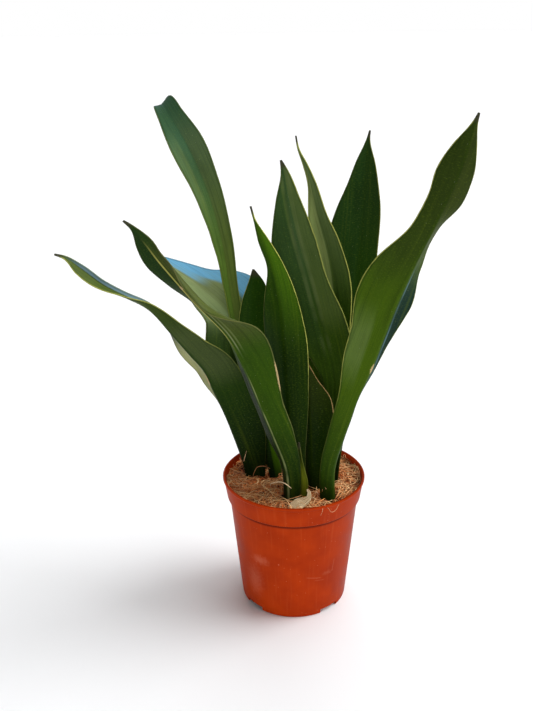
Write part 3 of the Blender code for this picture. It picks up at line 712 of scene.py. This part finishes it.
def ring_faces(rows, around):
    """Faces of a closed loft: quads between its rings, and a cap at each end."""
    i, j = np.meshgrid(np.arange(rows), np.arange(around), indexing="ij")
    a = i * around + j
    b = i * around + (j + 1) % around
    faces = np.stack([a, b, b + around, a + around], -1).reshape(-1, 4).tolist()
    faces.append(list(range(around))[::-1])
    faces.append([rows * around + k for k in range(around)])
    return faces


def smooth_noise(values, period, seed):
    """Gentle noise between about -1 and 1 along a list of lengths in millimetres."""
    return np.array([noise.noise(Vector((v / period, seed * 7.3, 0.5))) for v in values]) * 2


def margin_wave(lengths, across, to_margin, seed, ripple):
    """How far the blade waves out of its middle surface, near its margins and less towards the tip."""
    left, right = RIPPLE_PERIODS
    wave = smooth_noise(lengths, left, seed)[:, None] * np.where(across < 0, 1, 0)
    wave = wave + smooth_noise(lengths, right, seed + 40)[:, None] * np.where(across > 0, 1, 0)
    fade = np.clip((lengths[-1] - lengths) / RIPPLE_FADE, 0, 1)[:, None]
    return wave * ripple * np.exp(-to_margin / RIPPLE_REACH) * fade


def blade_loft(name, stations, size, scale, seed, ripple):
    """A closed blade with round margins. Its points know their place on the leaf for the material."""
    rows, half_columns = size
    columns = 2 * half_columns + 1
    grid, along, share = leaf_grid(stations, rows, half_columns)
    lengths = running_length(grid[:, half_columns])
    steps = np.linalg.norm(np.diff(grid, axis=1), axis=2)
    from_left = np.concatenate([np.zeros((rows + 1, 1)), np.cumsum(steps, axis=1)], 1)
    across = from_left - from_left[:, half_columns:half_columns + 1]
    to_margin = np.minimum(from_left, from_left[:, -1:] - from_left)
    normal = unit(np.cross(along[:, None], np.gradient(grid, axis=1)))
    grid = grid + normal * margin_wave(lengths, across, to_margin, seed, ripple)[..., None]
    half = normal * (blade_thickness(share, half_columns, scale) / 2)[..., None]
    left = grid[:, 0] + unit(grid[:, 0] - grid[:, 1]) * MARGIN_THICKNESS * MARGIN_ROUND
    right = grid[:, -1] + unit(grid[:, -1] - grid[:, -2]) * MARGIN_THICKNESS * MARGIN_ROUND
    ring = np.concatenate([left[:, None], grid + half, right[:, None], (grid - half)[:, ::-1]], 1)
    around = ring.shape[1]
    obj = add_mesh(f"{name}_blade", ring.reshape(-1, 3) * MM, ring_faces(rows, around))
    for key, values in (("along", lengths), ("to_tip", lengths[-1] - lengths), ("share", share)):
        write_attribute(obj, key, np.repeat(values[:, None], around, 1))
    order = [0, *range(columns), columns - 1, *range(columns)[::-1]]
    widest = np.maximum(np.abs(across[:, [0, -1]]).max(1, keepdims=True), 0.001)
    for key, values in (("across", across), ("to_margin", to_margin), ("half", across / widest)):
        write_attribute(obj, key, values[:, order])
    write_attribute(obj, "inner", ([0.5] + [1.0] * columns + [0.5] + [0.0] * columns) * (rows + 1))
    return obj


def leaf_greens(m, look, streaks, patches):
    """Greens from foot to tip, tints of the halves, some of them painted sheen, reflection and shade, and
    pale and deep streaks.
    """
    body = m.mix(m.step(m.share, 0.12, 0.45), look.low, look.middle)
    body = m.mix(m.step(m.share, 0.5, 0.85), body, look.top)
    for side, tint, strength, start, end, inset in look.sides:
        turn = -1 if side == "left" else 1
        mask = m.step(m.times(m.half, turn), inset, inset + SIDE_BLUR)
        mask = m.times(mask, m.stretch_mask(start, end))
        mask = m.times(mask, m.step(m.inner, 0.0, 1.0, 1.0, look.inner_share))
        body = m.tint(body, mask, strength, tint)
    paler = m.mix(0.26, body, PALE_STREAK)
    deeper = m.mix(0.6, body, DEEP_STREAK)
    body = m.tint(body, m.step(streaks, 0.52, 0.78), look.streak, paler)
    body = m.tint(body, m.step(streaks, 0.48, 0.24), look.streak, deeper)
    return m.tint(body, m.step(patches, 0.5, 0.3), 0.35, deeper)


# Painted highlights: pale stripes along the leaf where its keels and grooves catch the light.
def painted_highlight_stripes(m, look, body):
    wander = m.noise(m.plane, (0, 0.03, 0), 2, 0.5)
    for place, wide, tint, strength, start, end in look.lines:
        off = m.math("ABSOLUTE", m.minus(m.across, place))
        line = m.times(m.step(off, wide, 0.2 * wide), m.step(wander, 0.3, 0.6))
        body = m.tint(body, m.times(line, m.stretch_mask(start, end)), strength, tint)
    return body


def margin_lines(m, look, body):
    """A dark edge, and on it a pale line that is plainer on one side."""
    uneven = m.noise(m.plane, (0, 0.12, 0), 2, 0.5)
    rim = m.plus(m.to_margin, m.times(m.minus(uneven, 0.5), 1.2))
    body = m.tint(body, m.step(rim, 2.2, 0.9), 0.35, MARGIN_SHADE)
    left, right = look.margins
    strength = m.plus(m.times(m.half_mask("left"), left), m.times(m.half_mask("right"), right))
    start = look.margin_from
    strength = m.times(strength, m.step(m.along, start, start + 50, 0.12, 1.0))
    return m.tint(body, m.step(rim, 0.5, 0.1), strength, look.margin_tint)


def pale_crease(m, fold, body):
    crease = m.step(m.math("ABSOLUTE", m.across), 0.7, 0.3)
    return m.tint(body, m.times(crease, m.stretch_mask(*fold)), 0.75, CREASE)


def corky_scars(m, look, body):
    ragged = m.noise(m.plane, (0.9, 0.5, 1), 3, 0.7)
    for place, beside, inset, length, width in look.scars:
        span = m.over(m.minus(m.along, place), length)
        off = m.over(m.minus(m.across if beside == "keel" else m.to_margin, inset), width)
        mask = m.step(m.plus(m.distance(span, off), m.times(ragged, 0.8)), 1.35, 1.0)
        if beside != "keel":
            mask = m.times(mask, m.half_mask(beside))
        body = m.mix(mask, body, CORK)
    return body


def leaf_material(name, seed):
    look = LEAF_LOOKS[name]
    m = LeafMaterial(name, seed)
    streaks = m.noise(m.plane, (0.32, 0.006, 1))
    fine = m.noise(m.plane, (1.8, 0.015, 1), 2, 0.5)
    patches = m.noise(m.plane, (0.05, 0.018, 1), 3, 0.55)
    hatch = m.noise(m.plane, (0.5, 1.3, 1), 3, 0.6, 0.3)
    body = leaf_greens(m, look, streaks, patches)
    body = m.tint(body, m.step(hatch, 0.52, 0.72), 0.15, HATCH)
    body = m.tint(body, m.step(fine, 0.5, 0.3), 0.25, FINE_STREAK)
    body = margin_lines(m, look, painted_highlight_stripes(m, look, body))
    if look.fold:
        body = pale_crease(m, look.fold, body)
    body = m.tint(body, m.dots(m.plane, (0.22, 0.16, 1), 0.05, 0.02), 0.4, FLECK)
    body = corky_scars(m, look, body)
    body = m.mix(m.step(m.to_tip, 9.0, 3.0), body, DRY_TIP)
    m.surface("Base Color", m.tint(body, m.step(m.along, 60.0, 24.0), 0.6, FOOT_SHADE))
    worn = m.noise(m.plane, (0.3, 0.06, 1))
    m.surface("Roughness", m.step(worn, 0.3, 0.7, 0.38, 0.56))
    m.bump(m.plus(fine, m.times(streaks, 1.5)), 0.3, 0.4)
    return m.material


def sheath_material():
    m = Material("dried_sheath", roughness=0.75, specular=0.2)
    plane = m.combine(m.attribute("across"), m.attribute("along"), m.attribute("inner"))
    fibres = m.noise(plane, (3.2, 0.12, 1), 4, 0.6)
    stains = m.noise(plane, (0.3, 0.15, 1))
    body = m.mix(m.step(fibres, 0.35, 0.65), (150, 118, 74), (232, 216, 180))
    m.surface("Base Color", m.tint(body, m.step(stains, 0.5, 0.7), 0.5, (128, 92, 52)))
    m.bump(fibres, 0.4, 0.8)
    return m.material


def small_blade(name, seed, ripple):
    return blade_loft(name, SMALL_BLADES[name], SMALL_BLADE_ROWS, THIN_BLADE, seed, ripple)


def make_leaves():
    for seed, (name, stations) in enumerate(LEAVES.items()):
        leaf = blade_loft(name, stations, LEAF_ROWS, 1, seed, RIPPLE)
        dress(leaf, leaf_material(name, seed), "leaf", name)
    scale = small_blade("scale_leaf", SCALE_SEED, STIFF_RIPPLE)
    dress(scale, leaf_material("scale_leaf", SCALE_SEED), "leaf", "scale_leaf")
    sheath = small_blade("dried_sheath", SHEATH_SEED, RIPPLE)
    dress(sheath, sheath_material(), "dry_sheath", "dried_sheath")


def rhizome_material():
    m = Material("rhizome", roughness=0.6, specular=0.3)
    place = m.place()
    rings = m.noise(place, (0.08, 0.5, 0.3), 3, 0.6, 0.5)
    skin = m.noise(place, 0.5, 4, 0.6)
    body = m.mix(m.step(skin, 0.35, 0.7), (206, 138, 70), (236, 186, 116))
    m.surface("Base Color", m.tint(body, m.step(rings, 0.55, 0.62), 0.5, (140, 84, 44)))
    m.bump(m.plus(rings, skin), 0.6, 0.7)
    return m.material


def rounded(profile, radius):
    """A profile of (radius, height) points with an arc in place of each corner."""
    points = [Vector(p) for p in profile]
    out = [points[0]]
    for before, corner, after in zip(points, points[1:], points[2:]):
        back, on = before - corner, after - corner
        reach = min(radius, 0.45 * back.length, 0.45 * on.length)
        start = corner + back.normalized() * reach
        end = corner + on.normalized() * reach
        for s in (0, 0.25, 0.5, 0.75, 1):
            out.append(start * (1 - s) ** 2 + corner * 2 * s * (1 - s) + end * s**2)
    out.append(points[-1])
    return [(p.x, p.y) for p in out]


def turned_mesh(name, profile, steps):
    """A closed solid of revolution whose profile starts and ends on the axis."""
    turns = [2 * math.pi * k / steps for k in range(steps)]
    points = [(r * math.sin(a) * MM, -r * math.cos(a) * MM, z * MM) for r, z in profile[1:-1] for a in turns]
    points = [(0, 0, profile[0][1] * MM), *points, (0, 0, profile[-1][1] * MM)]
    last = len(points) - 1
    faces = []
    for k in range(steps):
        n = (k + 1) % steps
        faces.append((0, 1 + k, 1 + n))
        faces.append((last, last - steps + n, last - steps + k))
        for a in range(1, last - steps, steps):
            faces.append((a + k, a + steps + k, a + steps + n, a + n))
    return add_mesh(name, points, faces)


def settle(obj):
    """Puts the mesh that an object's modifiers make in its place, and drops them."""
    graph = bpy.context.evaluated_depsgraph_get()
    mesh = bpy.data.meshes.new_from_object(obj.evaluated_get(graph))
    obj.modifiers.clear()
    old, obj.data = obj.data, mesh
    bpy.data.meshes.remove(old)


def cut(obj, cutters):
    for cutter in cutters:
        modifier = obj.modifiers.new("cut", "BOOLEAN")
        modifier.operation = "DIFFERENCE"
        modifier.solver = "EXACT"
        modifier.object = cutter
    settle(obj)
    for cutter in cutters:
        bpy.data.objects.remove(cutter)


def notch_cutter():
    """Four blocks at the pot's foot, in one mesh."""
    shape = bmesh.new()
    size = (NOTCH_WIDTH * MM, CUTTER_DEPTH * MM, 2 * FLOOR_HEIGHT * MM)
    for i in range(NOTCH_COUNT):
        turn = Matrix.Rotation(math.radians(NOTCH_TURN + i * 360 / NOTCH_COUNT), 4, "Z")
        block = bmesh.ops.create_cube(shape, size=1)["verts"]
        bmesh.ops.scale(shape, vec=size, verts=block)
        place = turn @ Matrix.Translation((0, -FOOT_RADIUS * MM, 0))
        bmesh.ops.transform(shape, matrix=place, verts=block)
    return add_shape("notches", shape)


def drain_cutter():
    shape = bmesh.new()
    for i in range(DRAIN_COUNT):
        angle = 2 * math.pi * i / DRAIN_COUNT
        place = Matrix.Translation((DRAIN_CIRCLE * math.cos(angle) * MM, DRAIN_CIRCLE * math.sin(angle) * MM,
                                    FLOOR_HEIGHT * MM))
        bmesh.ops.create_cone(shape, cap_ends=True, segments=DRAIN_SIDES, radius1=DRAIN_RADIUS * MM,
                              radius2=DRAIN_RADIUS * MM, depth=CUTTER_DEPTH * MM, matrix=place)
    return add_shape("drains", shape)


def make_pot():
    profile = rounded(pot_inside()[:-1] + pot_outside(), CORNER_ROUND)
    pot = turned_mesh("pot_shell", profile, POT_STEPS)
    cut(pot, [notch_cutter(), drain_cutter()])
    pot.data.set_sharp_from_angle(angle=math.radians(SHARP_ANGLE))
    dress(pot, pot_material(), "pot_plastic", "pot")
    return pot


def pot_material():
    m = Material("pot_plastic", roughness=0.42, specular=0.04)
    place = m.place()
    axes = m.node("ShaderNodeSeparateXYZ", {"Vector": place}).outputs
    arc = m.times(m.math("ARCTAN2", axes["X"], m.times(axes["Y"], -1.0)), ARC_PER_RADIAN)
    height = axes["Z"]
    unrolled = m.combine(arc, height, 0.0)
    clouds = m.noise(unrolled, (0.03, 0.035, 1), 3, 0.55)
    flow = m.noise(unrolled, (0.35, 0.015, 1))
    body = m.mix(m.step(clouds, 0.3, 0.7), CLAY_DEEP, CLAY_LIGHT)
    body = m.tint(body, m.step(flow, 0.52, 0.75), 0.1, (214, 110, 66))
    body = m.tint(body, m.dots(unrolled, (0.22, 0.22, 1), 0.09, 0.04), 0.35, (224, 160, 130))
    for x, z, wide, high, strength in POT_SMUDGES:
        body = m.tint(body, smudge(m, arc, height, x, z, wide, high), strength, (222, 140, 112))
    for x, z, tilt, length, strength in POT_SCRATCHES:
        body = m.tint(body, scratch(m, arc, height, x, z, tilt, length), strength, (226, 150, 120))
    # Painted shadow: a dark strip just under the band's lower edge, where its ledge shades the wall.
    painted_band_shadow = m.step(height, BAND_FOOT + 0.7, BAND_FOOT - 0.3)
    painted_band_shadow = m.times(painted_band_shadow, m.step(height, BAND_FOOT - 3.9, BAND_FOOT - 1.5))
    m.surface("Base Color", m.tint(body, painted_band_shadow, 0.75, (70, 16, 8)))
    m.surface("Roughness", m.step(clouds, 0.3, 0.7, 0.36, 0.5))
    m.bump(m.plus(m.noise(place, 1.4), m.times(flow, 0.5)), 0.12, 0.35)
    return m.material


def smudge(m, arc, height, x, z, wide, high):
    """A soft patch round a point, with an uneven edge."""
    far = m.distance(m.over(m.minus(arc, x), wide), m.over(m.minus(height, z), high))
    uneven = m.noise(m.combine(arc, height, 3.0), 0.35)
    return m.step(m.plus(far, uneven), 1.4, 0.5)


def scratch(m, arc, height, x, z, tilt, length):
    """A hairline through a point, tilted from the level."""
    c, s = math.cos(math.radians(tilt)), math.sin(math.radians(tilt))
    dx, dz = m.minus(arc, x), m.minus(height, z)
    run = m.math("ABSOLUTE", m.plus(m.times(dx, c), m.times(dz, s)))
    off = m.math("ABSOLUTE", m.minus(m.times(dz, c), m.times(dx, s)))
    return m.times(m.step(off, 0.7, 0.2), m.step(run, length / 2, length / 3))


def leaf_sections(height):
    """The middle line of each blade at a height, and its thickness there, for fibres to keep out of."""
    sections = []
    for table, scale in ((LEAVES, 1), (SMALL_BLADES, THIN_BLADE)):
        for stations in table.values():
            grid, along, share = leaf_grid(stations, SECTION_ROWS, SECTION_COLUMNS)
            off = np.abs(grid[:, SECTION_COLUMNS, 2] - height)
            row = int(np.argmin(off))
            if off[row] < SECTION_REACH:
                sections.append((grid[row, :, :2], blade_thickness(share, SECTION_COLUMNS, scale)[row]))
    return sections


def clear_of_leaves(sections, x, y, spare):
    here = np.array([x, y])
    for line, thickness in sections:
        a, b = line[:-1], line[1:]
        run = b - a
        s = np.clip(((here - a) * run).sum(1) / (run * run).sum(1), 0, 1)[:, None]
        near = np.linalg.norm(a + run * s - here, axis=1)
        if (near < thickness[:-1] / 2 + spare).any():
            return False
    return True


def lump(x, y):
    return LUMP_HEIGHT * noise.noise(Vector((x / LUMP_SPACING, y / LUMP_SPACING, 3.1)))


def mat_height(x, y):
    """Top of the coir at a place: a gentle, lumpy crown."""
    fall = max(0.0, 1 - (math.hypot(x, y) / CROWN_RADIUS) ** 4)
    crown = COIR_EDGE + (COIR_CROWN - COIR_EDGE) * fall
    return crown + lump(x, y)


def make_coir_bed(node):
    """The coir as a body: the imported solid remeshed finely, with a rough lumpy top."""
    bed = add_object("coir_bed", node.data.copy())
    remesh = bed.modifiers.new("remesh", "REMESH")
    remesh.mode = "VOXEL"
    remesh.voxel_size = COIR_VOXEL * MM
    settle(bed)
    for vertex in bed.data.vertices:
        x, y, z = vertex.co / MM
        if z > COIR_TOP_FROM:
            rough = noise.noise(Vector((x / ROUGH_SPACING, y / ROUGH_SPACING, z / ROUGH_SPACING)))
            vertex.co.z += (lump(x, y) + ROUGH_HEIGHT * rough - COIR_SINK) * MM
    bed.data.shade_smooth()
    dress(bed, coir_material(), "coir", "coir")


def coir_material():
    m = Material("coir_bed", roughness=0.85, specular=0.2)
    place = m.place()
    patches = m.noise(place, 0.09)
    strands = m.noise(place, 0.7, 3, 0.65)
    body = m.mix(m.step(strands, 0.3, 0.7), (32, 15, 7), (100, 50, 25))
    m.surface("Base Color", m.tint(body, m.step(patches, 0.45, 0.65), 0.5, (154, 80, 44)))
    m.bump(strands, 0.5, 0.6)
    return m.material


def fibre_material(name, dark, light):
    m = Material(name, roughness=0.62, specular=0.25)
    place = m.place()
    patches = m.noise(place, 0.05, 2, 0.5)
    grain = m.noise(place, 1.1, 2, 0.6)
    body = m.mix(m.attribute("tone"), dark, light)
    body = m.tint(body, m.step(grain, 0.55, 0.35), 0.45, dark)
    m.surface("Base Color", m.tint(body, m.step(patches, 0.5, 0.65), 0.3, (204, 160, 104)))
    m.bump(grain, 0.1, 0.4)
    return m.material


def fibre_tube(route, radius, sides):
    """Rings of points round a route, thinner towards both ends."""
    ahead = unit(np.gradient(route, axis=0))
    side = unit(np.cross(ahead, (0.31, 0.22, 0.93)))
    other = np.cross(ahead, side)
    taper = radius * (1 - 0.6 * np.abs(np.linspace(-1, 1, len(route))) ** 4)[:, None]
    rings = []
    for k in range(sides):
        angle = 2 * math.pi * k / sides
        rings.append(route + (side * math.cos(angle) + other * math.sin(angle)) * taper)
    return np.stack(rings, 1).reshape(-1, 3) * MM


def fibre_mesh(name, fibres, sides=3):
    """Thin tubes in one mesh, each from its route, its radius and its tone."""
    points, faces, tones = [], [], []
    for route, radius, tone in fibres:
        tube = fibre_tube(np.asarray(route, float), radius, sides)
        for face in ring_faces(len(route) - 1, sides):
            faces.append([len(points) + corner for corner in face])
        points.extend(tube.tolist())
        tones.extend([tone] * len(tube))
    obj = add_mesh(name, points, faces)
    write_attribute(obj, "tone", tones)
    return obj


def loose_fibre(rng, sections, lift, arch, length):
    """A curved strand that lies on the coir, or nothing where a leaf stands in its way."""
    r = FIBRE_CIRCLE * math.sqrt(rng.random())
    turn = rng.uniform(0, 2 * math.pi)
    x, y = r * math.cos(turn), r * math.sin(turn)
    heading = rng.uniform(0, 2 * math.pi)
    bend = rng.gauss(0, FIBRE_BEND) / length
    wobble, phase = rng.uniform(0.2, 1.1), rng.uniform(0, 6.3)
    lean = rng.uniform(-1, 1) * arch * 0.5
    route = []
    stride = length / (FIBRE_STATIONS - 1)
    for k in range(FIBRE_STATIONS):
        s = k / (FIBRE_STATIONS - 1)
        far = math.hypot(x, y)
        if far > FIBRE_LIMIT:
            x, y = x * FIBRE_LIMIT / far, y * FIBRE_LIMIT / far
        if not clear_of_leaves(sections, x, y, FIBRE_CLEARANCE):
            break
        z = mat_height(x, y) + lift + arch * math.sin(math.pi * s) + lean * s
        route.append((x, y, z))
        heading += bend * stride + wobble * math.sin(phase + 9 * s) * 0.35
        x += stride * math.cos(heading)
        y += stride * math.sin(heading)
    return route if len(route) >= FEWEST_STATIONS else None


def make_fibres():
    sections = leaf_sections(FIBRE_PLANE)
    for index, (name, count, lift, arch, length, radius, dark, light) in enumerate(FIBRE_LAYERS):
        rng = random.Random(SEED + index)
        fibres = []
        while len(fibres) < count:
            route = loose_fibre(rng, sections, rng.uniform(*lift), rng.uniform(*arch), rng.uniform(*length))
            if route:
                fibres.append((route, rng.uniform(*radius), rng.random()))
        dress(fibre_mesh(name, fibres), fibre_material(name, dark, light), "coir")


def smooth_route(points, count):
    route = np.array(points, float)
    knots = running_length(route)
    return through(knots, route, np.linspace(0, knots[-1], count))


def make_hero_fibres():
    fibres = [(smooth_route(points, STRAND_STATIONS), radius, tone) for radius, tone, points in HERO_FIBRES]
    piece = fibre_mesh("coir_strands", fibres, STRAND_SIDES)
    dress(piece, fibre_material("coir_strands", (150, 84, 42), (240, 214, 172)), "coir")


def make_stage():
    """A wide floor, with its half size in metres."""
    reach = 60
    corners = [(-reach, -reach, 0), (reach, -reach, 0), (reach, reach, 0), (-reach, reach, 0)]
    floor = add_mesh("floor", corners, [(0, 1, 2, 3)], False)
    m = Material("floor", roughness=0.9, specular=0.1)
    m.surface("Base Color", (0.94, 0.94, 0.94, 1))
    floor.data.materials.append(m.material)
    return floor


def add_lamp(name, kind, towards, power, tint):
    data = bpy.data.lights.new(name, kind)
    data.energy = power
    data.color = colour(tint)[:3]
    lamp = add_object(name, data)
    lamp.rotation_euler = (-towards).to_track_quat("-Z", "Y").to_euler()
    return lamp


def soft_light(name, place, aim, size, power, tint):
    """A round lamp, with its place, its aim and its size in metres."""
    lamp = add_lamp(name, "AREA", Vector(place) - Vector(aim), power, tint)
    lamp.data.shape = "DISK"
    lamp.data.size = size
    lamp.location = place
    return lamp


def soft_sun(name, compass, rise, spread, strength, tint):
    """Even light from one side of the sky."""
    lamp = add_lamp(name, "SUN", Vector(direction(compass, rise)), strength, tint)
    lamp.data.angle = math.radians(spread)
    return lamp


def choose(lamp, state, *pieces):
    """The lamp lights only these pieces, or everything but them."""
    group = bpy.data.collections.new(lamp.name + "_pieces")
    for piece in pieces:
        group.objects.link(piece)
    for entry in group.collection_objects:
        entry.light_linking.link_state = state
    lamp.light_linking.receiver_collection = group


def make_lights(floor, pot):
    """The key lights all but the pot and the floor, which have lamps of their own."""
    choose(soft_sun("key", 12, 40, 46, 4.5, (255, 252, 248)), "EXCLUDE", floor, pot)
    choose(soft_sun("fill", -72, 48, 75, 1.15, (255, 252, 246)), "EXCLUDE", floor)
    choose(soft_light("sky", (-0.7, 1.6, 1.5), (0, 0, 0.25), 1.2, 4.6, (170, 205, 255)), "EXCLUDE", floor)
    choose(soft_sun("pot_key", -70, 40, 60, 1.05, (255, 250, 244)), "INCLUDE", pot)
    choose(soft_sun("pot_edge", 176, 14, 50, 0.4, (190, 212, 255)), "INCLUDE", pot)
    choose(soft_sun("floor_key", 10, 38, 40, 1.9, (252, 253, 255)), "INCLUDE", floor)
    choose(soft_sun("floor_sky", 40, 31, 120, 3.1, (252, 253, 255)), "INCLUDE", floor)


def make_world():
    """Light from all round, white up to the horizon and grey above it. Seen straight on, it is all white."""
    world = bpy.data.worlds.new("studio")
    bpy.context.scene.world = world
    sky = Nodes(world)
    towards = sky.node("ShaderNodeTexCoord").outputs["Generated"]
    ramp = sky.node("ShaderNodeValToRGB", {0: sky.node("ShaderNodeSeparateXYZ", {0: towards}).outputs["Z"]})
    stops = ramp.color_ramp.elements
    stops[0].position, stops[0].color = 0.03, (1, 1, 1, 1)
    stops[1].position, stops[1].color = 0.8, (0.235, 0.235, 0.235, 1)
    stops.new(0.2).color = (0.25, 0.25, 0.25, 1)
    light = sky.tree.nodes["Background"]
    light.inputs["Strength"].default_value = 1.05
    sky.feed(light.inputs["Color"], ramp.outputs["Color"])
    paper = sky.node("ShaderNodeBackground", {"Color": (1, 1, 1, 1)})
    seen = sky.node("ShaderNodeLightPath").outputs["Is Camera Ray"]
    either = sky.node("ShaderNodeMixShader", {0: seen, 1: light.outputs[0], 2: paper.outputs[0]})
    sky.feed(sky.tree.nodes["World Output"].inputs["Surface"], either.outputs[0])


def make_camera():
    """The photograph's viewpoint."""
    data = bpy.data.cameras.new("camera")
    data.sensor_width = SENSOR
    data.lens = CAMERA_FOCAL * SENSOR / IMAGE_HEIGHT
    camera = add_object("camera", data)
    camera.matrix_world = Matrix.Translation(CAMERA_PLACE)
    for angle, axis in ((CAMERA_YAW, "Z"), (90 + CAMERA_PITCH, "X"), (CAMERA_ROLL, "Z")):
        camera.matrix_world @= Matrix.Rotation(math.radians(angle), 4, axis)
    bpy.context.scene.camera = camera


def main():
    make_camera()
    make_world()
    floor = make_stage()
    make_leaves()
    make_lights(floor, make_pot())
    make_coir_bed(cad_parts["coir"])
    make_fibres()
    make_hero_fibres()
    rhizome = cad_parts["rhizome"]
    rhizome.data.materials.clear()
    rhizome.data.materials.append(rhizome_material())
    scene = bpy.context.scene
    scene.view_settings.view_transform = "Standard"
    scene.view_settings.look = "None"


main()
